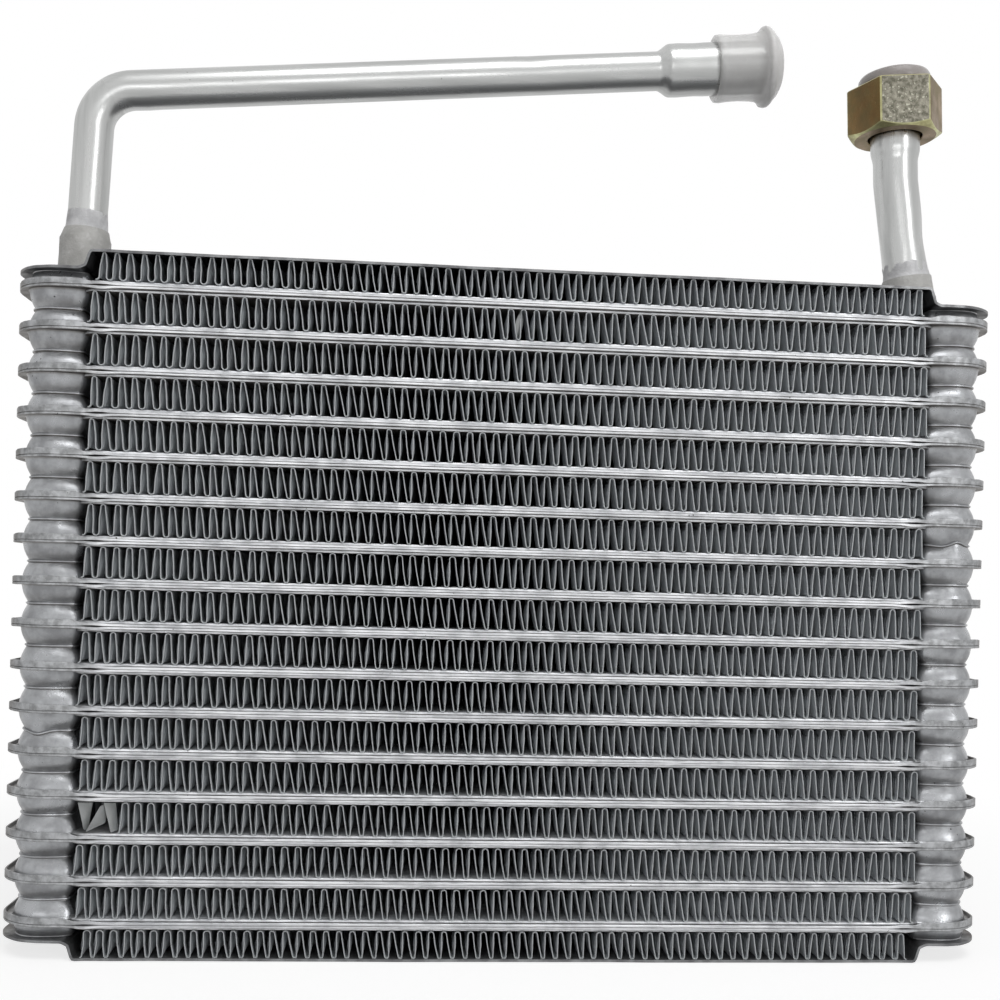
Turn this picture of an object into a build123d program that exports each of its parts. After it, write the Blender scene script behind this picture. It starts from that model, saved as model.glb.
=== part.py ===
from build123d import *
import math
import os

# Laminated evaporator core of a vehicle air conditioner, in millimetres.
# X runs along the flat tubes, Y through the depth of the core and Z up the stack.
# The origin is under the middle of the bottom end plate.

# Stack of flat tubes and fin rows
TUBE_COUNT = 16
TUBE_THICKNESS = 3.2
FIN_HEIGHT = 9.5
END_FIN_HEIGHT = 8.4
CORE_DEPTH = 90.0
FIN_ROW_LENGTH = 259.4
END_FIN_INSET = 2.2
FIN_SETBACK = 0.8
FIN_SHEET = 0.3
FIN_WAVES = 12

# Stamped tube plates, each with a drawn cup at either end
PLATE_SHEET = 0.6
PLATE_FLANGE = 3.5
PLATE_DRAFT = 13.3
FIN_TO_CUP = 1.3
CUP_WIDTH = 18.4
CUP_CORNER = 8.5
END_CUP_HEIGHT = 4.8
END_CORNER = 15.0
CUP_CORNER_FACETS = 1
END_CORNER_FACETS = 1

# End plates, stepped from the cups out over the outer fin rows
END_SHEET = 0.8
STEP_GAP = 1.2
STEP_FOOT_RADIUS = 2.2

# Inlet: collar, bent pipe with an expanded end, and its cap
INLET_BESIDE_CUP = 2.4
INLET_LEAN = 2.6
INLET_DIAMETER = 12.7
INLET_WALL = 1.2
INLET_RISE = 68.6
MOUTH_TO_OUTLET = 56.1
INLET_RUN_SLOPE = 5.4
INLET_BEND_RADIUS = 13.8
EXPANDED_DIAMETER = 17.2
EXPANDED_LENGTH = 32.6
EXPANSION_LENGTH = 4.6
CAP_WALL = 2.3
CAP_CLEARANCE = 0.15
CAP_SLEEVE = 16.7
CAP_LIP_DIAMETER = 26.5
CAP_LIP_LENGTH = 2.6
CAP_DOME_HEIGHT = 3.4
CAP_DOME_DIAMETER = 20.0

# Outlet: collar, tube, turning nut and its plug
OUTLET_BESIDE_CUP = 1.3
OUTLET_LEAN = -8.0
OUTLET_TOP_LEAN = -2.3
OUTLET_DIAMETER = 15.0
OUTLET_WALL = 1.2
OUTLET_RISE = 52.6
OUTLET_TOP = 21.8
OUTLET_BEND_RADIUS = 25.0
SWAGE_DIAMETER = 16.6
SWAGE_LENGTH = 4.0
SWAGE_BELOW_NUT = 9.0
NUT_FLATS = 28.6
NUT_HEIGHT = 17.0
NUT_TURN = -7.5
NUT_BACK_WALL = 4.0
NUT_BACK_CLEARANCE = 0.9
NUT_BACK_FACE = 27.4
NUT_CHAMFER_ANGLE = 30.0
THREAD_DIAMETER = 21.6
SEAT_DIAMETER = 20.8
SEAT_THICKNESS = 2.0
SEAT_CLEARANCE = 0.3
PLUG_STEM = 8.0
PLUG_CLEARANCE = 0.1
PLUG_HEAD_DIAMETER = 24.4
PLUG_HEAD_HEIGHT = 5.3

# Collars brazed to the top end plate
INLET_COLLAR_WALL = 1.8
INLET_COLLAR_HEIGHT = 22.5
INLET_COLLAR_CONE = 3.2
COLLAR_MOUTH_WALL = 0.6
OUTLET_COLLAR_WALL = 1.5
OUTLET_COLLAR_HEIGHT = 19.0
BRAZE_GAP = 0.05

# Sizes that follow from those above
PITCH = TUBE_THICKNESS + FIN_HEIGHT
CUP_HEIGHT = PITCH / 2
CUP_INNER_X = FIN_ROW_LENGTH / 2 + FIN_TO_CUP
CUP_X = CUP_INNER_X + CUP_WIDTH / 2
END_X = CUP_INNER_X + CUP_WIDTH + PLATE_FLANGE
PRESSED_HALF_DEPTH = CORE_DEPTH / 2 - PLATE_FLANGE
END_FIN_ROW_LENGTH = FIN_ROW_LENGTH - 2 * END_FIN_INSET
STEP_X = END_FIN_ROW_LENGTH / 2 + STEP_GAP
COVER_LEVEL = TUBE_THICKNESS / 2 + END_FIN_HEIGHT
FIRST_TUBE_Z = COVER_LEVEL + END_SHEET
LAST_TUBE_Z = FIRST_TUBE_Z + PITCH * (TUBE_COUNT - 1)
DECK_Z = LAST_TUBE_Z + END_CUP_HEIGHT + END_SHEET
INLET_X = -CUP_X - INLET_BESIDE_CUP
OUTLET_X = CUP_X + OUTLET_BESIDE_CUP
INLET_CORNER_X = INLET_X + INLET_RISE * math.sin(math.radians(INLET_LEAN))
INLET_REACH = OUTLET_X - MOUTH_TO_OUTLET - INLET_CORNER_X
INLET_RUN = INLET_REACH / math.cos(math.radians(INLET_RUN_SLOPE))
NUT_BACK = OUTLET_TOP - SEAT_THICKNESS - SEAT_CLEARANCE - NUT_BACK_WALL


def write(shape, name):
    """Save one node as its own STEP file."""
    shape.label = name
    export_step(shape, f"parts/{name}.step")


def corner_loop(centre_x, half_x, half_y, radius, facets, z):
    """Closed wire of a rounded rectangle whose corners are flat facets tangent to the radius."""
    step = 90 / (facets + 1)
    reach = radius / math.cos(math.radians(step / 2))
    points = []
    for quarter, (side_x, side_y) in enumerate(((1, 1), (-1, 1), (-1, -1), (1, -1))):
        for k in range(facets + 1):
            angle = math.radians(90 * quarter + step * (k + 0.5))
            x = centre_x + side_x * (half_x - radius) + reach * math.cos(angle)
            y = side_y * (half_y - radius) + reach * math.sin(angle)
            points.append((x, y, z))
    return Wire.make_polygon(points, close=True)


def prism(loop, height):
    """Upright solid over a flat wire."""
    return Solid.extrude(Face(loop), Vector(0, 0, height))


def plate_outline(height):
    """Blank of a tube plate or an end plate."""
    return prism(corner_loop(0, END_X, CORE_DEPTH / 2, END_CORNER, END_CORNER_FACETS, 0), height)


def pressed(centre_x, half_x, wall, height):
    """Drafted volume pressed up out of a plate, taken outside it or inside its wall."""
    half_y = PRESSED_HALF_DEPTH - wall
    loop = corner_loop(centre_x, half_x - wall, half_y, CUP_CORNER - wall, CUP_CORNER_FACETS, 0)
    return Solid.extrude_taper(Face(loop), Vector(0, 0, height), PLATE_DRAFT)


def pressed_form(wall, channel_height, cup_height):
    """Half of the flat channel with the cup that rises from it at each end."""
    form = pressed(0, CUP_X + CUP_WIDTH / 2, wall, channel_height)
    for side in (-1, 1):
        form += pressed(side * CUP_X, CUP_WIDTH / 2, wall, cup_height)
    return form


def tube_plate(cup_height):
    """Upper plate of a tube: brazing flange, half of the channel and two open cups."""
    half_tube = TUBE_THICKNESS / 2
    plate = plate_outline(PLATE_SHEET) + pressed_form(0, half_tube, cup_height)
    return plate - pressed_form(PLATE_SHEET, half_tube - PLATE_SHEET, cup_height)


def fin_row(length, height):
    """Corrugated fin: one folded strip whose crests touch the tubes above and below."""
    half_wave = length / (2 * FIN_WAVES)
    edge = FIN_SHEET / 2 * math.hypot(1, height / half_wave)
    crest = height / 2 - edge
    line = []
    for i in range(2 * FIN_WAVES + 1):
        x = -length / 2 + i * half_wave
        line.append((x, -crest if i % 2 == 0 else crest))
    upper = [(x, z + edge) for x, z in line]
    lower = [(x, z - edge) for x, z in reversed(line)]
    face = Face(Wire.make_polygon([(x, 0, z) for x, z in upper + lower], close=True))
    depth = CORE_DEPTH - 2 * FIN_SETBACK
    return Solid.extrude(face, Vector(0, depth, 0)).moved(Pos(0, -depth / 2, 0))


def stepped_line(disc_z, cover_z, wall_x, foot_radius):
    """One side of the end plate's section: disc, step, cover, step, disc."""
    points = [
        (-END_X, 0, disc_z),
        (-wall_x, 0, disc_z),
        (-wall_x, 0, cover_z),
        (wall_x, 0, cover_z),
        (wall_x, 0, disc_z),
        (END_X, 0, disc_z),
    ]
    return FilletPolyline(*points, radius=[foot_radius, 0, 0, foot_radius])


def end_plate():
    """Upper end plate, measured from the middle of the outermost tube."""
    inner_radius = STEP_FOOT_RADIUS + END_SHEET
    inner = stepped_line(END_CUP_HEIGHT, COVER_LEVEL, STEP_X, inner_radius)
    outer = stepped_line(
        END_CUP_HEIGHT + END_SHEET,
        COVER_LEVEL + END_SHEET,
        STEP_X + END_SHEET,
        STEP_FOOT_RADIUS,
    )
    ends = [Line(inner @ 0, outer @ 0), Line(inner @ 1, outer @ 1)]
    section = Face(Wire(inner.edges() + outer.edges() + ends))
    sheet = Solid.extrude(section, Vector(0, CORE_DEPTH, 0)).moved(Pos(0, -CORE_DEPTH / 2, 0))
    return sheet & plate_outline(COVER_LEVEL + END_SHEET)


def turned(points, axis_place):
    """Body of revolution from (radius, height) points, set along a leaning axis."""
    face = Face(Wire.make_polygon([(r, 0, h) for r, h in points], close=True))
    return Solid.revolve(face, 360, Axis.Z).moved(axis_place)


def leaning(x, z, lean):
    """Place on the XZ plane whose own Z axis leans towards +X by the angle given."""
    return Pos(x, 0, z) * Rot(0, lean, 0)


def above_deck(shape):
    """Trim a leaning collar flat where it stands on the end plate."""
    return shape & Solid.make_box(400, 200, 200).moved(Pos(-200, -100, DECK_Z))


def inlet_collar():
    """Sleeve round the foot of the inlet pipe, with a cone at its mouth."""
    bore = INLET_DIAMETER / 2 + BRAZE_GAP
    outer = bore + INLET_COLLAR_WALL
    points = [
        (bore, -outer),
        (outer, -outer),
        (outer, INLET_COLLAR_HEIGHT - INLET_COLLAR_CONE),
        (bore + COLLAR_MOUTH_WALL, INLET_COLLAR_HEIGHT),
        (bore, INLET_COLLAR_HEIGHT),
    ]
    return above_deck(turned(points, leaning(INLET_X, DECK_Z, INLET_LEAN)))


def outlet_collar():
    """Plain sleeve round the foot of the outlet tube."""
    bore = OUTLET_DIAMETER / 2 + BRAZE_GAP
    outer = bore + OUTLET_COLLAR_WALL
    top = OUTLET_COLLAR_HEIGHT
    points = [(bore, -outer), (outer, -outer), (outer, top), (bore, top)]
    return above_deck(turned(points, leaning(OUTLET_X, DECK_Z, OUTLET_LEAN)))


def along(start, lean, distance):
    """Point at a distance along a line that leans towards +X from the vertical."""
    angle = math.radians(lean)
    return (start[0] + distance * math.sin(angle), 0, start[2] + distance * math.cos(angle))


def elbow(corner, lean_in, lean_out, bend_radius, outer, inner):
    """Bend of a round tube between two straight stretches that meet at a corner."""
    turn = lean_out - lean_in
    side = math.copysign(1, turn)
    tangent = bend_radius * math.tan(math.radians(abs(turn) / 2))
    start = along(corner, lean_in, -tangent)
    centre = along(start, lean_in + side * 90, bend_radius)
    ring = leaning(start[0], start[2], lean_in) * (Circle(outer) - Circle(inner))
    return Solid.revolve(ring.face(), abs(turn), Axis(centre, (0, side, 0)))


def bent_tube(foot, lean, rise, lean_out, bend_radius, diameter, wall, end_points):
    """Tube that stands on the deck, bends once and ends in a turned profile.

    The end's points are radii and distances from the corner of the two axes.
    """
    outer = diameter / 2
    inner = outer - wall
    tangent = bend_radius * math.tan(math.radians(abs(lean_out - lean) / 2))
    corner = along(foot, lean, rise)
    stem = [(inner, -outer), (outer, -outer), (outer, rise - tangent), (inner, rise - tangent)]
    stand = above_deck(turned(stem, leaning(foot[0], foot[2], lean)))
    start = [(inner, tangent), (outer, tangent)]
    end = turned(start + end_points, leaning(corner[0], corner[2], lean_out))
    return stand + elbow(corner, lean, lean_out, bend_radius, outer, inner) + end


def inlet_pipe():
    """Pipe from the deck up, round the tight bend and along to the expanded mouth."""
    radius = INLET_DIAMETER / 2
    wide = EXPANDED_DIAMETER / 2
    seam = INLET_RUN - EXPANDED_LENGTH - EXPANSION_LENGTH
    full = INLET_RUN - EXPANDED_LENGTH
    points = [
        (radius, seam),
        (wide, full),
        (wide, INLET_RUN),
        (wide - INLET_WALL, INLET_RUN),
        (wide - INLET_WALL, full),
        (radius - INLET_WALL, seam),
    ]
    return bent_tube(
        (INLET_X, 0, DECK_Z),
        INLET_LEAN,
        INLET_RISE,
        90 - INLET_RUN_SLOPE,
        INLET_BEND_RADIUS,
        INLET_DIAMETER,
        INLET_WALL,
        points,
    )


def inlet_cap():
    """Soft cap over the pipe's mouth: sleeve, lip and domed end."""
    foot = (INLET_X, 0, DECK_Z)
    corner = along(foot, INLET_LEAN, INLET_RISE)
    run_lean = 90 - INLET_RUN_SLOPE
    mouth = along(corner, run_lean, INLET_RUN)
    bore = EXPANDED_DIAMETER / 2 + CAP_CLEARANCE
    sleeve = bore + CAP_WALL
    lip = CAP_LIP_DIAMETER / 2
    crown = CAP_LIP_LENGTH + CAP_DOME_HEIGHT
    points = [
        (0, 0),
        (bore, 0),
        (bore, -CAP_SLEEVE),
        (sleeve, -CAP_SLEEVE),
        (sleeve, 0),
        (lip, 0),
        (lip, CAP_LIP_LENGTH),
        (CAP_DOME_DIAMETER / 2, crown),
        (0, crown),
    ]
    return turned(points, leaning(mouth[0], mouth[2], run_lean))


def nut_place():
    """Place of the nut's back face on the tube's upper axis."""
    corner = along((OUTLET_X, 0, DECK_Z), OUTLET_LEAN, OUTLET_RISE)
    back = along(corner, OUTLET_TOP_LEAN, NUT_BACK)
    return leaning(back[0], back[2], OUTLET_TOP_LEAN)


def outlet_tube():
    """Tube from the deck, through a slight bend, to the seat inside the nut."""
    radius = OUTLET_DIAMETER / 2
    wide = SWAGE_DIAMETER / 2
    seat = SEAT_DIAMETER / 2
    swage_start = NUT_BACK - SWAGE_BELOW_NUT
    points = [
        (radius, swage_start),
        (wide, swage_start + SWAGE_LENGTH),
        (wide, OUTLET_TOP - SEAT_THICKNESS),
        (seat, OUTLET_TOP - SEAT_THICKNESS),
        (seat, OUTLET_TOP),
        (radius - OUTLET_WALL, OUTLET_TOP),
    ]
    return bent_tube(
        (OUTLET_X, 0, DECK_Z),
        OUTLET_LEAN,
        OUTLET_RISE,
        OUTLET_TOP_LEAN,
        OUTLET_BEND_RADIUS,
        OUTLET_DIAMETER,
        OUTLET_WALL,
        points,
    )


def outlet_nut():
    """Hexagon nut, bevelled at its back, with a clear back hole and a threaded mouth."""
    hexagon = RegularPolygon(NUT_FLATS / 2, 6, major_radius=False, rotation=NUT_TURN)
    body = extrude(hexagon, NUT_HEIGHT)
    corner = NUT_FLATS / math.sqrt(3)
    face = NUT_BACK_FACE / 2
    bevel = (corner - face) * math.tan(math.radians(NUT_CHAMFER_ANGLE))
    barrel = [
        (0, 0),
        (face, 0),
        (corner, bevel),
        (corner, NUT_HEIGHT),
        (0, NUT_HEIGHT),
    ]
    back_hole = SWAGE_DIAMETER / 2 + NUT_BACK_CLEARANCE
    bore = [
        (0, 0),
        (back_hole, 0),
        (back_hole, NUT_BACK_WALL),
        (THREAD_DIAMETER / 2, NUT_BACK_WALL),
        (THREAD_DIAMETER / 2, NUT_HEIGHT),
        (0, NUT_HEIGHT),
    ]
    nut = (body & turned(barrel, Pos(0, 0, 0))) - turned(bore, Pos(0, 0, 0))
    return nut.moved(nut_place())


def outlet_plug():
    """Plug in the nut's mouth: a stem and a head that rests on the nut."""
    stem = THREAD_DIAMETER / 2 - PLUG_CLEARANCE
    head = PLUG_HEAD_DIAMETER / 2
    top = NUT_HEIGHT + PLUG_HEAD_HEIGHT
    points = [
        (0, NUT_HEIGHT - PLUG_STEM),
        (stem, NUT_HEIGHT - PLUG_STEM),
        (stem, NUT_HEIGHT),
        (head, NUT_HEIGHT),
        (head, top),
        (0, top),
    ]
    return turned(points, nut_place())


def port(x, diameter, wall):
    """Hole in the top end plate, as wide as the bore of the pipe above it."""
    return Solid.make_cylinder(diameter / 2 - wall, 2 * COVER_LEVEL).moved(Pos(x, 0, 0))


def build_stack():
    """Write the tube plates, fin rows and end plates of the core."""
    full = tube_plate(CUP_HEIGHT)
    end = tube_plate(END_CUP_HEIGHT)
    for k in range(TUBE_COUNT):
        place = Pos(0, 0, FIRST_TUBE_Z + k * PITCH)
        upper = end if k == TUBE_COUNT - 1 else full
        lower = end if k == 0 else full
        write(upper.moved(place), f"plate_upper_{k + 1:02d}")
        write(lower.mirror(Plane.XY).moved(place), f"plate_lower_{k + 1:02d}")
    fin = fin_row(FIN_ROW_LENGTH, FIN_HEIGHT)
    end_fin = fin_row(END_FIN_ROW_LENGTH, END_FIN_HEIGHT)
    for k in range(TUBE_COUNT + 1):
        middle = FIRST_TUBE_Z + (k - 0.5) * PITCH
        if k == 0:
            write(end_fin.moved(Pos(0, 0, END_SHEET + END_FIN_HEIGHT / 2)), "fin_01")
        elif k == TUBE_COUNT:
            top_row = LAST_TUBE_Z + TUBE_THICKNESS / 2 + END_FIN_HEIGHT / 2
            write(end_fin.moved(Pos(0, 0, top_row)), f"fin_{k + 1:02d}")
        else:
            write(fin.moved(Pos(0, 0, middle)), f"fin_{k + 1:02d}")
    plate = end_plate()
    write(plate.mirror(Plane.XY).moved(Pos(0, 0, FIRST_TUBE_Z)), "bottom_end_plate")
    drilled = plate - port(INLET_X, INLET_DIAMETER, INLET_WALL)
    drilled -= port(OUTLET_X, OUTLET_DIAMETER, OUTLET_WALL)
    write(drilled.moved(Pos(0, 0, LAST_TUBE_Z)), "top_end_plate")


def build_pipes():
    """Write the inlet and outlet pieces."""
    write(inlet_collar(), "inlet_collar")
    write(inlet_pipe(), "inlet_pipe")
    write(inlet_cap(), "inlet_cap")
    write(outlet_collar(), "outlet_collar")
    write(outlet_tube(), "outlet_tube")
    write(outlet_nut(), "outlet_nut")
    write(outlet_plug(), "outlet_plug")


os.makedirs("parts", exist_ok=True)
build_stack()
build_pipes()
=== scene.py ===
"""Looks of a laminated evaporator core: tubes, louvred fins, end plates, pipes, nut and caps."""

import logging
import math
import random
from collections.abc import Callable, Sequence
from dataclasses import dataclass
from enum import Enum

import bmesh
import bpy
from mathutils import Matrix, Vector, noise


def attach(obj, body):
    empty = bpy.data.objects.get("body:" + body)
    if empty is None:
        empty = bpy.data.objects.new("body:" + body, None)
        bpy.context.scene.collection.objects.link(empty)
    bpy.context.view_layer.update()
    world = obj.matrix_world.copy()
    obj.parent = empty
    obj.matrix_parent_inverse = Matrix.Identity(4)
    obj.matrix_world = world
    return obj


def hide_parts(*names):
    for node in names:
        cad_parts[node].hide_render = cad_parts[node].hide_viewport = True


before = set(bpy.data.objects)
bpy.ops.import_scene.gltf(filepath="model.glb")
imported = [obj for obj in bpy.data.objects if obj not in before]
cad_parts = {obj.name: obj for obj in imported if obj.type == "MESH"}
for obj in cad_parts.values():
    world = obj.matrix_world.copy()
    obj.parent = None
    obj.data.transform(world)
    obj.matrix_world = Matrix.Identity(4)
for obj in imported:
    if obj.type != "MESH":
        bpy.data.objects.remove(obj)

MILLIMETRE = 0.001

Point = tuple[float, float, float]
Colour = tuple[float, float, float]

log = logging.getLogger("evaporator_core")


class Body(Enum):
    """Bodies of the frame that pieces ride on."""

    CORE = "core"
    NUT = "nut"


class Slot(Enum):
    """Material slots of the record."""

    TUBE = "tube_plate"
    FIN = "fin"
    END = "end_plate"
    COLLAR = "collar"
    PIPE = "pipe"
    NUT = "nut"
    CAP = "inlet_cap"
    PLUG = "outlet_plug"


class Side(Enum):
    """Ends of the core, as the sign of X."""

    LEFT = -1
    RIGHT = 1


# Geometry helpers


def ease(value: float, start: float, end: float) -> float:
    """Rise smoothly from 0 to 1 between two values.

    Args:
        value: where to look.
        start: where the rise starts.
        end: where the rise ends.

    Returns:
        A share from 0 to 1.
    """
    share = min(1.0, max(0.0, (value - start) / (end - start)))
    return share * share * (3 - 2 * share)


def hump(value: float, centre: float, width: float) -> float:
    """Bell curve of height 1 round a centre."""
    return math.exp(-(((value - centre) / width) ** 2))


def wander(x: float, y: float, z: float, size: float) -> float:
    """Smooth noise from about -1 to 1 that changes over a size in millimetres."""
    return noise.noise(Vector((x / size, y / size, z / size)))


class Mould:
    """Gathers the points and faces of one piece in millimetres."""

    def __init__(self, warp: Callable[[Point], Point] | None = None) -> None:
        """Start with no points.

        Args:
            warp: optional change of each point as it is added.
        """
        self.points: list[Point] = []
        self.faces: list[tuple[int, ...]] = []
        self.warp = warp

    def ring(self, points: Sequence[Point]) -> list[int]:
        """Add a row of points.

        Args:
            points: the row, in order.

        Returns:
            The numbers of the new points.
        """
        first = len(self.points)
        self.points.extend(self.warp(p) if self.warp else p for p in points)
        return list(range(first, first + len(points)))

    def skin(self, lower: Sequence[int], upper: Sequence[int], closed: bool = True) -> None:
        """Join two rows of equal length with quads.

        Args:
            lower: one row of point numbers.
            upper: the other row.
            closed: whether the rows are loops.
        """
        count = len(lower)
        for i in range(count if closed else count - 1):
            j = (i + 1) % count
            self.faces.append((lower[i], lower[j], upper[j], upper[i]))

    def loft(self, rows: Sequence[Sequence[Point]], closed: bool = True) -> list[list[int]]:
        """Skin a list of rows, one after the other.

        Args:
            rows: rows of equal length.
            closed: whether the rows are loops.

        Returns:
            The point numbers of each row.
        """
        rings = [self.ring(row) for row in rows]
        for lower, upper in zip(rings, rings[1:]):
            self.skin(lower, upper, closed)
        return rings

    def lid(self, ring: Sequence[int]) -> None:
        """Close a loop with one face."""
        self.faces.append(tuple(ring))

    def piece(self, name: str, crease: float = 40.0, tidy: bool = True) -> bpy.types.Object:
        """Turn the points and faces into an object in metres.

        Args:
            name: name of the piece.
            crease: angle in degrees above which an edge stays sharp.
            tidy: whether face directions are made to agree.

        Returns:
            The new object, linked to the scene.
        """
        mesh = bpy.data.meshes.new(name)
        scaled = [(x * MILLIMETRE, y * MILLIMETRE, z * MILLIMETRE) for x, y, z in self.points]
        mesh.from_pydata(scaled, [], self.faces)
        if tidy:
            work = bmesh.new()
            work.from_mesh(mesh)
            bmesh.ops.recalc_face_normals(work, faces=work.faces)
            work.to_mesh(mesh)
            work.free()
        mesh.shade_smooth()
        mesh.set_sharp_from_angle(angle=math.radians(crease))
        thing = bpy.data.objects.new(name, mesh)
        bpy.context.scene.collection.objects.link(thing)
        return thing


@dataclass(frozen=True)
class RoundedLoop:
    """Rounded rectangle in plan, whose rings all have the same number of points."""

    centre_x: float
    half_x: float
    half_y: float
    radius: float
    corner_steps: int = 8
    stations: tuple[float, ...] = (0.5, 0.0, -0.5)

    def at(self, height: float, inset: float = 0.0) -> list[Point]:
        """Points of the loop at one height.

        Args:
            height: Z of the loop.
            inset: distance inside the outline.

        Returns:
            The loop's points, counter-clockwise from above.
        """
        radius = max(0.05, self.radius - inset)
        reach_x = self.half_x - inset - radius
        reach_y = self.half_y - inset - radius
        points: list[Point] = []
        for quarter, (side_x, side_y) in enumerate(((1, 1), (-1, 1), (-1, -1), (1, -1))):
            for k in range(self.corner_steps + 1):
                angle = math.pi / 2 * (quarter + k / self.corner_steps)
                x = self.centre_x + side_x * reach_x + radius * math.cos(angle)
                points.append((x, side_y * reach_y + radius * math.sin(angle), height))
            if quarter in (0, 2):
                y = side_y * (self.half_y - inset)
                for share in self.stations:
                    points.append((self.centre_x + side_y * share * reach_x, y, height))
        return points


def leaning_axes(lean: float) -> tuple[Vector, Vector]:
    """Across and along directions of an axis that leans towards +X.

    Args:
        lean: angle from the vertical in degrees.

    Returns:
        The direction across the axis in the XZ plane, and the one along it.
    """
    angle = math.radians(lean)
    across = Vector((math.cos(angle), 0, -math.sin(angle)))
    return across, Vector((math.sin(angle), 0, math.cos(angle)))


@dataclass(frozen=True)
class Station:
    """One cross-section of a round piece: its centre, lean and radius."""

    centre: Vector
    lean: float
    radius: float


def round_rows(stations: Sequence[Station], sides: int) -> list[list[Point]]:
    """Rings of a round piece.

    Args:
        stations: cross-sections in order.
        sides: points in each ring.

    Returns:
        One ring of points for each station.
    """
    rows = []
    for station in stations:
        across, _ = leaning_axes(station.lean)
        ring = []
        for k in range(sides):
            angle = 2 * math.pi * k / sides
            spot = station.centre + across * (station.radius * math.cos(angle))
            ring.append((spot.x, spot.y + station.radius * math.sin(angle), spot.z))
        rows.append(ring)
    return rows


@dataclass(frozen=True)
class BentPath:
    """Line of a tube that stands on the deck and bends once.

    The distances along it start at the foot.
    """

    foot: Vector
    lean: float
    rise: float
    lean_out: float
    bend_radius: float

    @property
    def corner(self) -> Vector:
        """Point where the two straight stretches would meet."""
        return self.foot + leaning_axes(self.lean)[1] * self.rise

    @property
    def tangent(self) -> float:
        """Distance from the corner to where the bend starts."""
        return self.bend_radius * math.tan(math.radians(abs(self.lean_out - self.lean) / 2))

    def beyond(self, distance: float) -> Vector:
        """Point on the outgoing stretch, measured from the corner."""
        return self.corner + leaning_axes(self.lean_out)[1] * distance

    def bend(self, steps: int, radius: float) -> list[Station]:
        """Stations round the bend.

        Args:
            steps: number of stretches that the bend is split into.
            radius: radius of the tube.

        Returns:
            The stations, from the start of the bend to its end.
        """
        side = math.copysign(1, self.lean_out - self.lean)
        start = self.corner - leaning_axes(self.lean)[1] * self.tangent
        centre = start + leaning_axes(self.lean)[0] * (side * self.bend_radius)
        stations = []
        for k in range(steps + 1):
            lean = self.lean + (self.lean_out - self.lean) * k / steps
            spot = centre - leaning_axes(lean)[0] * (side * self.bend_radius)
            stations.append(Station(spot, lean, radius))
        return stations


# Shader groups


class Effect(Enum):
    """Effects that several materials share."""

    MOTTLING = "Mottling"
    PITS = "Pits"
    SCRATCHES = "Scratches"
    # Mask for painted shade on downward-facing surfaces.
    PAINTED_UNDERSIDE_SHADE = "Painted Underside Shade"
    # Mask for painted shade deep inside the core.
    PAINTED_INNER_SHADE = "Painted Inner Shade"
    FACING_OUT = "Facing Out"
    OUTWARD = "Outward"


def worked_out(
    tree: bpy.types.NodeTree, operation: str, *values: bpy.types.NodeSocket | float
) -> bpy.types.NodeSocket:
    """Result of a math node on one or two values.

    Args:
        tree: the tree that gets the node.
        operation: the node's operation.
        values: sockets to link, or numbers to set.

    Returns:
        The socket of the result.
    """
    node = tree.nodes.new("ShaderNodeMath")
    node.operation = operation
    for socket, value in zip(node.inputs, values):
        if isinstance(value, bpy.types.NodeSocket):
            tree.links.new(value, socket)
        else:
            socket.default_value = value
    return node.outputs[0]


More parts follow.
